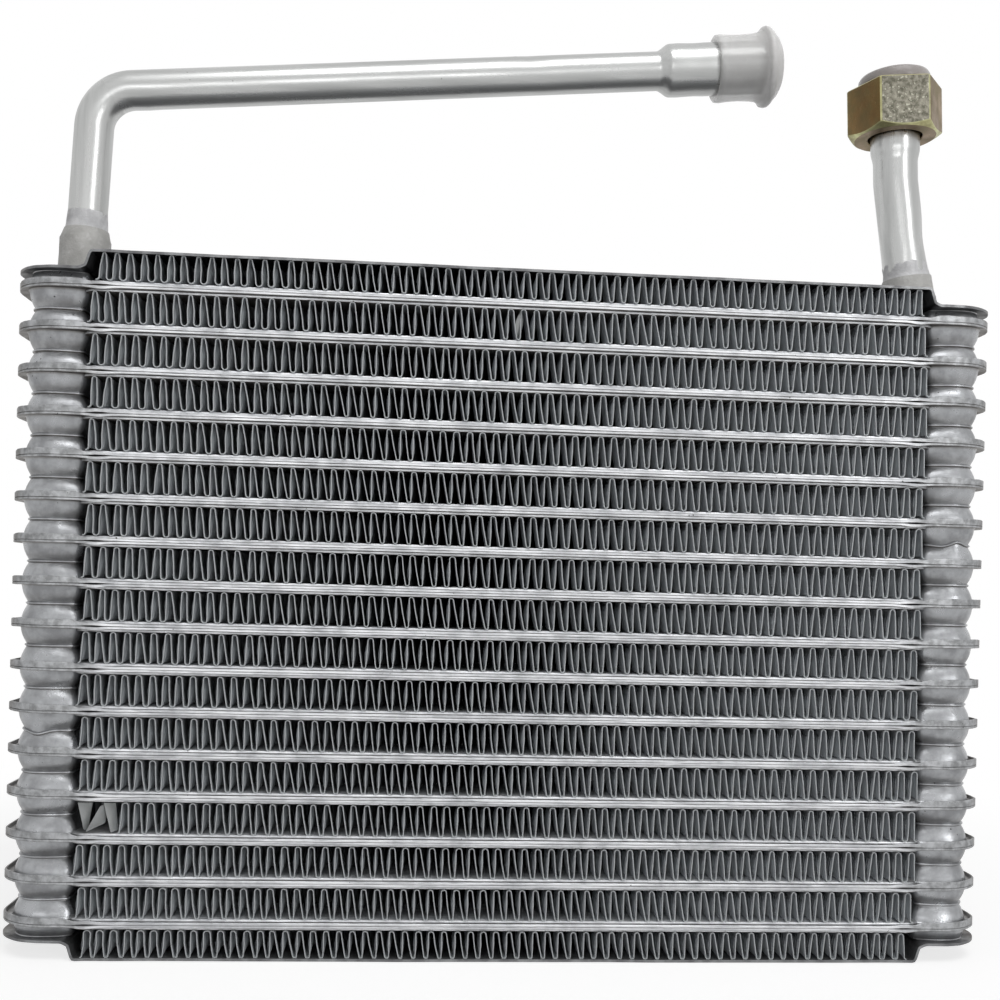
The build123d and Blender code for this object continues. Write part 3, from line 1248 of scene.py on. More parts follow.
    def middle_sheet(self, mould: Mould, line: list[tuple[float, float]], deep: float) -> None:
        """Plain bowed strip between the louvres of both faces.

        Args:
            mould: where the faces go.
            line: (x, z) points of the row.
            deep: Y where the louvres end.
        """
        rows = []
        for step in range(self.bow_steps + 1):
            share = step / self.bow_steps
            sway = self.bow * math.sin(2 * math.pi * share)
            y = -deep + 2 * deep * share
            row = []
            for x, z in line:
                room = ease(self.sizes.fin_row_half - abs(x), 0.0, self.end_fade)
                row.append((x + sway * room, y, z))
            rows.append(row)
        mould.loft(rows, closed=False)

    def row(self, number: int) -> None:
        """Build one row and tie it to the frame.

        Args:
            number: the row, from 1 at the bottom.
        """
        mould = Mould()
        legs = self.legs(number, random.Random(self.first_seed + number))
        face = self.half_depth
        inner = face - self.margin
        deep = inner - self.slats * self.slat_pitch
        skipped = 2 * self.crushed_waves if number == self.crushed_row else 0
        line = [p for leg in legs for p in leg.line[:-1]] + [legs[-1].line[-1]]
        self.edge_strip(mould, line[self.leg_step * skipped :], -face, -inner)
        self.edge_strip(mould, line, face, inner)
        for i, leg in enumerate(legs):
            for k in range(self.slats):
                middle = inner - (k + 0.5) * self.slat_pitch
                if i >= skipped:
                    self.slat(mould, leg, -middle, True)
                self.slat(mould, leg, middle, False)
        for crest in range(1, len(legs)):
            top, arc = self.leg_step * crest, len(self.turns)
            turn = line[top - arc : top + arc + 1]
            for near, far, start in ((-inner, -deep, skipped), (deep, inner, 0)):
                if crest > start:
                    rows = [[(x, near, z) for x, z in turn], [(x, far, z) for x, z in turn]]
                    mould.loft(rows, closed=False)
        self.middle_sheet(mould, line, deep)
        straight = len(mould.faces)
        if number == self.crushed_row:
            self.crushed_flaps(mould, line[0][0], *self.row_levels(number))
        if number == self.sizes.tubes:
            self.bent_leaf(mould, *self.row_levels(number))
        piece = mould.piece(f"fin_row_{number:02d}", crease=50.0, tidy=False)
        kinds = [0 if i < straight else 1 for i in range(len(mould.faces))]
        piece.data.polygons.foreach_set("material_index", kinds)
        materials = [self.material, self.bent_material]
        finish_piece(piece, Body.CORE, Slot.FIN, materials, f"fin_{number:02d}")

    def crushed_flaps(self, mould: Mould, left: float, low: float, high: float) -> None:
        """Folded-over strips at the left end of the damaged row.

        Args:
            mould: where the faces go.
            left: X where the row starts.
            low: bottom of the row.
            high: top of the row.
        """
        tall = high - low
        flaps = (
            ((0.1, 0.97), (4.1, 0.95), (2.9, 0.08), (2.0, 0.12)),
            ((6.6, 0.86), (9.2, 0.97), (7.8, 0.30), (2.5, 0.04)),
            ((7.6, 0.97), (10.8, 0.94), (11.8, 0.10), (9.9, 0.03)),
        )
        for number, corners in enumerate(flaps):
            rows = []
            for share in (0.0, 0.25, 0.5, 0.75, 1.0):
                row = []
                for across in (0.0, 0.5, 1.0):
                    (ax, az), (bx, bz), (cx, cz), (dx, dz) = corners
                    top = (ax + (bx - ax) * across, az + (bz - az) * across)
                    foot = (dx + (cx - dx) * across, dz + (cz - dz) * across)
                    x = left + top[0] + (foot[0] - top[0]) * share
                    z = low + tall * (top[1] + (foot[1] - top[1]) * share)
                    bulge = 0.7 * math.sin(math.pi * share) * math.sin(math.pi * across)
                    y = -self.half_depth + 0.5 + 1.6 * across + number * 0.1 - bulge
                    row.append((x, max(y, -self.sizes.half_depth + 0.2), z))
                rows.append(row)
            mould.loft(rows, closed=False)

    def bent_leaf(self, mould: Mould, low: float, high: float) -> None:
        """One leg bent out into a pointed oval.

        Args:
            mould: where the faces go.
            low: bottom of the row.
            high: top of the row.
        """
        rows = []
        for k in range(9):
            share = k / 8
            half = (2.3 * math.sin(math.pi * share) ** 0.8 + 0.1) * 0.5
            z = low + 0.5 + (high - low - 0.9) * share
            x = -1.0 + 1.2 * share
            y = -self.half_depth + 0.2
            rows.append([(x - half, y + 0.1, z), (x, y - 0.35, z), (x + half, y + 0.7, z)])
        mould.loft(rows, closed=False)

    def build(self) -> None:
        """Build all rows."""
        for number in range(1, self.sizes.tubes + 2):
            self.row(number)


# Tubes and tanks


@dataclass
class TubeStack:
    """The 16 flat tubes, each of two plates with a cup at either end."""

    sizes: CoreSizes
    sheet_material: bpy.types.Material
    tank_material: bpy.types.Material
    joint_gap: float = 0.03
    rim_half: float = 0.78
    lip_height: float = 1.2
    lip_start: float = 127.5
    lip_full: float = 132.5
    lip_fade: float = 150.0
    rim_round: float = 0.12
    inner_fall: float = 0.34
    inner_reach: float = 0.9
    shoulder_depth: float = 43.7
    lens_x: float = 125.6
    lens_width: float = 3.0
    lens_rise: float = 0.5
    lens_gap: float = 0.22
    lip_thickness: float = 0.55
    ripple: float = 0.09
    channel_short: float = 9.0
    front_from: float = -20.0
    right_crease: tuple[float, float] = (141.5, 131.5)
    left_bulge: tuple[float, float] = (-142.0, 68.0)

    @property
    def cup_profile(self) -> tuple[tuple[float, float], ...]:
        """Heights over the joint plane and insets of a cup that reaches the waist.

        Returns:
            (height, inset) from the flange up.
        """
        waist = self.sizes.pitch / 2
        return (
            (self.sizes.sheet - 0.1, -0.5),
            (self.sizes.sheet + 0.25, -0.15),
            (1.35, 0.05),
            (2.4, 0.22),
            (3.5, 0.55),
            (4.6, 1.05),
            (5.4, 1.5),
            (waist - 0.5, 1.72),
            (waist - 0.36, 1.55),
            (waist - 0.2, 1.25),
            (waist, 1.22),
        )

    @property
    def end_cup_profile(self) -> tuple[tuple[float, float], ...]:
        """Heights and insets of an outermost cup, which meets the end plate.

        Returns:
            (height, inset) from the flange up.
        """
        top = self.sizes.end_cup_height
        return (
            (self.sizes.sheet - 0.1, -0.5),
            (self.sizes.sheet + 0.25, -0.15),
            (1.35, 0.02),
            (2.4, 0.12),
            (3.5, 0.42),
            (top - 0.3, 0.85),
            (top, 0.7),
        )

    def dented(self, point: Point) -> Point:
        """Crease in the right tank and bulge in the left one.

        Args:
            point: a point of a cup.

        Returns:
            The moved point.
        """
        x, y, z = point
        if y > self.front_from:
            return point
        near = ease(-y, 26, 34)
        crease_x, crease_z = self.right_crease
        right = hump(z, crease_z, 1.6) * near
        z += right * (1.0 * hump(x, crease_x, 2.2) - 0.45 * hump(x, crease_x - 5.5, 2.6))
        y -= right * 0.5 * hump(x, crease_x, 3.0)
        bulge_x, bulge_z = self.left_bulge
        left = hump(z, bulge_z, 1.8) * near
        z -= left * 1.1 * hump(x, bulge_x, 3.2)
        y -= left * 0.45 * hump(x, bulge_x, 3.4)
        return (x, y, z)

    def swollen(self, point: Point, inset: float, end: Side) -> Point:
        """Fuller shape of a cup on the side of the fins.

        Args:
            point: a point of a cup.
            inset: how far inside the cup's outline the point's ring lies.
            end: which end of the tube.

        Returns:
            The moved point.
        """
        x, y, z = point
        if (x - end.value * self.sizes.cup_x) * end.value >= 0:
            return point
        front = self.sizes.pressed_half_depth - inset
        inward = abs(x - end.value * self.sizes.cup_x) / self.sizes.cup_half
        x -= end.value * self.inner_reach * ease(inward, 0.3, 1.0)
        return (x, math.copysign(front - self.inner_fall * (front - abs(y)), y), z)

    def lip(self, number: int, point: Point) -> float:
        """Height of the turned-up rim at a point of the outline.

        Args:
            number: the tube.
            point: a point of the outline.

        Returns:
            The rim's height over the flange.
        """
        reach = abs(point[0])
        full = ease(reach, self.lip_start, self.lip_full)
        full *= 1 - 0.75 * ease(reach, self.lip_fade, 155.0)
        ragged = 1 + 0.16 * wander(point[0], point[1], 40.0 * number, 2.2)
        return self.lip_height * full * ragged

    def flange(self, mould: Mould, number: int, middle: float, side: int) -> None:
        """Flat flange of one plate, with its rim.

        Args:
            mould: where the faces go.
            number: the tube.
            middle: height of the joint plane.
            side: 1 for the upper plate, -1 for the lower one.
        """
        fine = [1 - 0.011 * k for k in range(1, 12)]
        steps = fine + [0.86, 0.8, 0.7, 0.6, 0.5, 0.4, 0.3, 0.2, 0.1]
        stations = tuple(steps + [0.0] + [-s for s in reversed(steps)])
        loop = RoundedLoop(
            0, self.sizes.end_x, self.sizes.half_depth, self.sizes.end_corner, 9, stations
        )
        profile = (
            (self.joint_gap, 1.2, 0.0),
            (self.joint_gap, 0.12, 0.0),
            (self.joint_gap + 0.08, 0.0, 0.0),
            (self.rim_half - self.rim_round, 0.0, 1.0),
            (self.rim_half, self.rim_round, 1.0),
            (self.rim_half, self.lip_thickness, 1.0),
            (self.sizes.sheet, self.lip_thickness + 0.5, 0.0),
        )
        rows = []
        for height, inset, lipped in profile:
            outline = loop.at(0, 0)
            row = []
            for (x, y, _), edge in zip(loop.at(0, inset), outline):
                lift = lipped * self.lip(number, edge) if side > 0 else 0.0
                lens = hump(abs(edge[0]), self.lens_x, self.lens_width)
                lift += lens * (self.lens_rise if lipped else self.lens_gap)
                ripple = self.ripple * wander(edge[0], edge[1], 17.0 * number + side, 5.0)
                row.append((x, y, middle + side * (height + lift) + ripple))
            rows.append(row)
        rings = mould.loft(rows)
        mould.lid(rings[-1])

    def channel(self, mould: Mould, middle: float, side: int) -> None:
        """Half of the flat channel, whose ends lie at the cups.

        Args:
            mould: where the faces go.
            middle: height of the joint plane.
            side: 1 for the upper plate, -1 for the lower one.
        """
        half = self.sizes.tube_thickness / 2
        stations = tuple(1 - 0.1 * k for k in range(1, 20))
        reach = self.sizes.cup_x - self.channel_short
        loop = RoundedLoop(0, reach, self.shoulder_depth, 4.0, 4, stations)
        profile = (
            (0.5, 0.5),
            (0.8, 0.2),
            (0.95, 0.04),
            (half - 0.3, 0.0),
            (half - 0.06, 0.12),
            (half, 0.4),
        )
        rings = mould.loft([loop.at(middle + side * height, inset) for height, inset in profile])
        mould.lid(rings[-1])

    def cup(self, mould: Mould, middle: float, side: int, end: Side, outermost: bool) -> None:
        """One drawn cup.

        Args:
            mould: where the faces go.
            middle: height of the joint plane.
            side: 1 for a cup that rises, -1 for one that hangs.
            end: which end of the tube.
            outermost: whether it meets an end plate.
        """
        loop = RoundedLoop(
            end.value * self.sizes.cup_x,
            self.sizes.cup_half,
            self.sizes.pressed_half_depth,
            self.sizes.cup_corner,
            10,
        )
        profile = self.end_cup_profile if outermost else self.cup_profile
        rows = [
            [
                self.dented(self.swollen(point, inset, end))
                for point in loop.at(middle + side * height, inset)
            ]
            for height, inset in profile
        ]
        mould.loft(rows)

    def tube(self, number: int) -> None:
        """Build one tube and tie it to the frame.

        Args:
            number: the tube, from 1 at the bottom.
        """
        middle = self.sizes.tube_z(number)
        mould = Mould()
        for side in (1, -1):
            self.flange(mould, number, middle, side)
            self.channel(mould, middle, side)
        flat = len(mould.faces)
        for side in (1, -1):
            outermost = number == (self.sizes.tubes if side > 0 else 1)
            for end in Side:
                self.cup(mould, middle, side, end, outermost)
        piece = mould.piece(f"tube_{number:02d}", crease=38.0)
        kinds = [0 if i < flat else 1 for i in range(len(mould.faces))]
        piece.data.polygons.foreach_set("material_index", kinds)
        materials = [self.sheet_material, self.tank_material]
        nodes = (f"plate_upper_{number:02d}", f"plate_lower_{number:02d}")
        finish_piece(piece, Body.CORE, Slot.TUBE, materials, *nodes)

    def build(self) -> None:
        """Build all tubes."""
        for number in range(1, self.sizes.tubes + 1):
            self.tube(number)


# End plates


@dataclass
class EndPlates:
    """The stepped sheets that close the stack at the top and the bottom."""

    sizes: CoreSizes
    material: bpy.types.Material
    step_x: float = 128.7
    foot_reach: float = 4.2
    ragged: float = 0.16

    def level(self, x: float) -> float:
        """Height of the sheet's inner face over the outermost tube's middle.

        Args:
            x: where to look.

        Returns:
            The height.
        """
        cover = self.sizes.tube_thickness / 2 + self.sizes.end_fin_height
        drop = ease(abs(x), self.step_x - 0.4, self.step_x + self.foot_reach)
        sharp = ease(abs(x), self.step_x - 0.2, self.step_x + 1.6)
        blend = 0.7 * sharp + 0.3 * drop
        return cover + (self.sizes.end_cup_height - cover) * blend

    def half_depth_at(self, x: float) -> float:
        """Half the sheet's depth at an X, less towards its rounded corners.

        Args:
            x: where to look.

        Returns:
            The half depth.
        """
        past = abs(x) - (self.sizes.end_x - self.sizes.end_corner)
        if past <= 0:
            return self.sizes.half_depth
        corner = self.sizes.end_corner
        straight = self.sizes.half_depth - corner
        return straight + math.sqrt(max(0.0, corner**2 - past**2))

    def plate(self, name: str, middle: float, side: int) -> None:
        """Build one plate and tie it to the frame.

        Args:
            name: name of the piece's CAD node.
            middle: height of the outermost tube's middle.
            side: 1 for the top plate, -1 for the bottom one.
        """
        step = [self.step_x - 1.5 + 0.35 * k for k in range(20)]
        straight = self.sizes.end_x - self.sizes.end_corner
        turns = [math.radians(6.0 * k) for k in range(1, 16)]
        ends = [straight + self.sizes.end_corner * math.sin(turn) for turn in turns]
        half = [0.0, 15, 30, 45, 60, 75, 90, 105, 118, 125] + step + ends
        places = [-x for x in reversed(half[1:])] + half
        shares = [-1.0, -0.997, -0.9, -0.6, -0.3, 0.0, 0.3, 0.6, 0.9, 0.997, 1.0]
        rows_in: list[list[Point]] = []
        rows_out: list[list[Point]] = []
        for x in places:
            depth = self.half_depth_at(x)
            slope = (self.level(x + 0.1) - self.level(x - 0.1)) / 0.2
            lean = math.atan(slope)
            inner: list[Point] = []
            outer: list[Point] = []
            for share in shares:
                y = share * depth
                edge = ease(abs(share), 0.85, 1.0)
                wave = self.ragged * edge * wander(x, y, 9.0 * side, 4.0)
                wave -= self.ragged * 1.2 * edge
                z = self.level(x)
                inner.append((x, y, middle + side * (z + wave)))
                shift = -self.sizes.end_sheet * math.sin(lean)
                rise = self.sizes.end_sheet * math.cos(lean)
                past = max(-self.sizes.end_x, min(self.sizes.end_x, x + shift))
                outer.append((past, y, middle + side * (z + rise + wave)))
            rows_in.append(inner)
            rows_out.append(outer)
        mould = Mould()
        rings = [a + list(reversed(b)) for a, b in zip(rows_in, rows_out)]
        skins = mould.loft(rings)
        mould.lid(skins[0])
        mould.lid(skins[-1])
        piece = mould.piece(name.replace("end_plate", "end_sheet"), crease=45.0)
        finish_piece(piece, Body.CORE, Slot.END, [self.material], name)

    def build(self) -> None:
        """Build both plates."""
        self.plate("top_end_plate", self.sizes.tube_z(self.sizes.tubes), 1)
        self.plate("bottom_end_plate", self.sizes.tube_z(1), -1)


# Pipes


@dataclass
class Collar:
    """Sleeve brazed round the foot of a pipe, with a rough skirt and a smear above it."""

    name: str
    foot: Vector
    lean: float
    pipe_radius: float
    radius: float
    height: float
    cone: float
    skirt: float
    smear: float
    roughness: float
    material: bpy.types.Material
    smear_material: bpy.types.Material
    sides: int = 56
    smear_rings: int = 4

    def build(self) -> None:
        """Build the collar and tie it to the frame."""
        _, up = leaning_axes(self.lean)
        profile = (
            (-2.0, self.radius + self.skirt),
            (0.15, self.radius + self.skirt),
            (0.7, self.radius + 0.45 * self.skirt),
            (1.8, self.radius + 0.12 * self.skirt),
            (3.5, self.radius),
            (self.height * 0.35, self.radius + 0.05),
            (self.height * 0.6, self.radius - 0.05),
            (self.height - self.cone - 0.5, self.radius),
            (self.height - self.cone, self.radius - 0.25),
            (self.height - 0.3, self.pipe_radius + 0.75),
            (self.height + 0.2, self.pipe_radius + 0.4),
            (self.height + self.smear * 0.5, self.pipe_radius + 0.22),
            (self.height + self.smear, self.pipe_radius + 0.02),
            (self.height + self.smear + 0.6, self.pipe_radius - 0.25),
        )
        stations = [Station(self.foot + up * h, self.lean, r) for h, r in profile]
        deck = self.foot.z
        rows = []
        for (height, _), row in zip(profile, round_rows(stations, self.sides)):
            ring = []
            for x, y, z in row:
                push = self.roughness * wander(x, y, z, 3.4)
                push += self.roughness * 0.6 * wander(x + 50, y, z, 1.3)
                if height > self.height:
                    z += 0.7 * wander(x, y, 5.0, 11.0)
                away = Vector((x - self.foot.x, y, 0)).normalized()
                ring.append((x + away.x * push, y + away.y * push, max(z, deck - 0.3)))
            rows.append(ring)
        mould = Mould()
        mould.loft(rows)
        piece = mould.piece(f"{self.name}_brazed", crease=60.0)
        first = len(profile) - 1 - self.smear_rings
        smeared = [1 if i // self.sides >= first else 0 for i in range(len(mould.faces))]
        piece.data.polygons.foreach_set("material_index", smeared)
        finish_piece(piece, Body.CORE, Slot.COLLAR, [self.material, self.smear_material], self.name)


@dataclass
class InletLine:
    """Collar, bent pipe with its expanded end, and the soft cap on its mouth."""

    sizes: CoreSizes
    wardrobe: Wardrobe
    x: float = -142.6
    lean: float = 2.6
    rise: float = 68.6
    run_lean: float = 84.6
    bend_radius: float = 13.8
    radius: float = 6.35
    wall: float = 1.2
    run: float = 225.8906
    expanded: float = 8.6
    expanded_length: float = 32.6
    expansion: float = 4.6
    bore_depth: float = 26.0
    sides: int = 64
    stand_steps: int = 12
    bend_steps: int = 22
    standing_bend_steps: int = 14
    run_steps: int = 40
    expansion_steps: int = 12
    mouth_steps: int = 11
    cap_gap: float = 0.15
    cap_wall: float = 2.3
    cap_sides: int = 60

    @property
    def path(self) -> BentPath:
        """Line of the pipe."""
        foot = Vector((self.x, 0, self.sizes.deck_z))
        return BentPath(foot, self.lean, self.rise, self.run_lean, self.bend_radius)

    def marked(self, point: Point) -> Point:
        """Dents and tool marks of the pipe.

        Args:
            point: a point of the pipe.

        Returns:
            The moved point.
        """
        x, y, z = point
        if y < 2 and x > -100:
            front = ease(-y, 0.0, 5.0)
            dent = 0.55 * hump(x, 3.5, 2.6) * hump(z, 294.2, 3.2)
            dent += 0.2 * hump(x, 9.0, 3.0)
            y += front * dent
        if -134 < x < -112:
            z += 0.35 * hump(x, -121.5, 1.0) * (1 if z > 277 else -1)
        return (x, y, z)

    def run_station(self, distance: float, radius: float) -> Station:
        """Cross-section of the run, at a distance from the corner."""
        return Station(self.path.beyond(distance), self.run_lean, radius)

    def pipe(self) -> None:
        """Build the pipe."""
        path = self.path
        _, up = leaning_axes(self.lean)
        stand = self.rise - path.tangent
        stations = [
            Station(path.foot + up * (stand * k / self.stand_steps), self.lean, self.radius)
            for k in range(self.stand_steps)
        ]
        stations += path.bend(self.bend_steps, self.radius)
        full = self.run - self.expanded_length
        seam = full - self.expansion
        first = path.tangent
        for k in range(1, self.run_steps):
            spot = first + (seam - first) * k / self.run_steps
            stations.append(self.run_station(spot, self.radius))
        for k in range(self.expansion_steps + 1):
            share = k / self.expansion_steps
            radius = self.radius + (self.expanded - self.radius) * ease(share, 0.0, 1.0)
            stations.append(self.run_station(seam + self.expansion * share, radius))
        for k in range(1, self.mouth_steps + 1):
            spot = full + (self.run - full - 0.4) * k / self.mouth_steps
            stations.append(self.run_station(spot, self.expanded + 0.08 * math.sin(k * 1.7)))
        inner = self.expanded - self.wall
        for spot, radius in (
            (self.run, self.expanded - 0.35),
            (self.run, inner + 0.2),
            (self.run - 0.4, inner),
            (self.run - self.bore_depth, inner),
        ):
            stations.append(self.run_station(spot, radius))
        mould = Mould(self.marked)
        rings = mould.loft(round_rows(stations, self.sides))
        mould.lid(rings[-1])
        split = (self.stand_steps + self.standing_bend_steps) * self.sides
        piece = mould.piece("inlet_pipe_drawn", crease=40.0)
        marks = [0 if i < split else 1 for i in range(len(mould.faces))]
        piece.data.polygons.foreach_set("material_index", marks)
        materials = [self.wardrobe.stand_pipe, self.wardrobe.run_pipe]
        finish_piece(piece, Body.CORE, Slot.PIPE, materials, "inlet_pipe")

    def cap(self) -> None:
        """Build the cap."""
        path = self.path
        bore = self.expanded + self.cap_gap
        sleeve = bore + self.cap_wall
        profile = (
            (-16.0, bore),
            (-16.7, bore + 0.3),
            (-16.75, sleeve - 0.7),
            (-16.3, sleeve - 0.1),
            (-15.0, sleeve + 0.05),
            (-12.0, sleeve - 0.25),
            (-8.0, sleeve - 0.35),
            (-4.0, sleeve - 0.1),
            (-1.6, sleeve + 0.2),
            (-0.5, sleeve + 0.9),
            (-0.1, 12.2),
            (0.4, 13.0),
            (1.2, 13.22),
            (2.0, 13.1),
            (2.6, 12.6),
            (3.2, 11.6),
            (4.4, 10.2),
            (5.4, 8.4),
            (5.85, 5.5),
            (5.95, 2.5),
            (5.98, 0.3),
        )
        stations = [Station(path.beyond(self.run + s), self.run_lean, r) for s, r in profile]
        rows = []
        for (_, radius), row in zip(profile, round_rows(stations, self.cap_sides)):
            ring = []
            for x, y, z in row:
                loose = ease(radius, 8.8, 13.0)
                swell = 0.35 * loose * wander(x, y, z, 7.0)
                ring.append((x + swell - 0.3 * loose, y * (1 - 0.012 * loose), z + swell * 0.6))
            rows.append(ring)
        mould = Mould()
        rings = mould.loft(rows)
        mould.lid(rings[-1])
        piece = mould.piece("inlet_cap_soft", crease=75.0)
        finish_piece(piece, Body.CORE, Slot.CAP, [self.wardrobe.cap], "inlet_cap")

    def build(self) -> None:
        """Build the collar, the pipe and the cap."""
        Collar(
            name="inlet_collar",
            foot=self.path.foot,
            lean=self.lean,
            pipe_radius=self.radius,
            radius=8.2,
            height=22.5,
            cone=3.2,
            skirt=0.9,
            smear=5.6,
            roughness=0.22,
            material=self.wardrobe.collar,
            smear_material=self.wardrobe.smear,
        ).build()
        self.pipe()
        self.cap()


@dataclass
class OutletLine:
    """Collar and short tube at the right, up to the seat inside the nut."""

    sizes: CoreSizes
    wardrobe: Wardrobe
    x: float = 141.5
    lean: float = -8.0
    top_lean: float = -2.3
    rise: float = 52.6
    bend_radius: float = 25.0
    radius: float = 7.5
    wall: float = 1.2
    swage: float = 8.3
    seat: float = 10.4
    top: float = 21.8
    nut_back: float = 15.5
    seat_height: float = 2.0
    bore_depth: float = 12.0
    swage_before_nut: float = 9.0
    swage_length: float = 5.0
    sides: int = 64
    stand_steps: int = 24
    bend_steps: int = 6
    swage_steps: int = 9

    @property
    def path(self) -> BentPath:
        """Line of the tube."""
        foot = Vector((self.x, 0, self.sizes.deck_z))
        return BentPath(foot, self.lean, self.rise, self.top_lean, self.bend_radius)

    def dented(self, point: Point) -> Point:
        """Long shallow dent on the right of the tube.

        Args:
            point: a point of the tube.

        Returns:
            The moved point.
        """
        x, y, z = point
        if x > 135:
            x -= 0.7 * hump(z, 239.0, 6.5) * hump(y, -3.5, 4.0)
        return (x, y, z)

    def tube(self) -> None:
        """Build the tube."""
        path = self.path
        _, up = leaning_axes(self.lean)
        stand = self.rise - path.tangent
        stations = [
            Station(path.foot + up * (stand * k / self.stand_steps), self.lean, self.radius)
            for k in range(self.stand_steps)
        ]
        stations += path.bend(self.bend_steps, self.radius)
        start = self.nut_back - self.swage_before_nut
        for k in range(self.swage_steps + 1):
            share = k / self.swage_steps
            radius = self.radius + (self.swage - self.radius) * ease(share, 0.0, 1.0)
            spot = path.beyond(start + self.swage_length * share)
            stations.append(Station(spot, self.top_lean, radius))
        seat_foot = self.top - self.seat_height
        for spot, radius in (
            (seat_foot - 0.4, self.swage),
            (seat_foot, self.swage + 0.4),
            (seat_foot, self.seat - 0.2),
            (seat_foot + 0.2, self.seat),
            (self.top - 0.2, self.seat),
            (self.top, self.seat - 0.2),
            (self.top, self.radius - self.wall),
            (self.top - self.bore_depth, self.radius - self.wall),
        ):
            stations.append(Station(path.beyond(spot), self.top_lean, radius))
        mould = Mould(self.dented)
        rings = mould.loft(round_rows(stations, self.sides))
        mould.lid(rings[-1])
        piece = mould.piece("outlet_tube_drawn", crease=40.0)
        finish_piece(piece, Body.CORE, Slot.PIPE, [self.wardrobe.stand_pipe], "outlet_tube")

    def build(self) -> None:
        """Build the collar and the tube."""
        Collar(
            name="outlet_collar",
            foot=self.path.foot,
            lean=self.lean,
            pipe_radius=self.radius,
            radius=9.05,
            height=19.0,
            cone=9.5,
            skirt=1.9,
            smear=4.6,
            roughness=0.45,
            material=self.wardrobe.collar,
            smear_material=self.wardrobe.smear,
        ).build()
        self.tube()


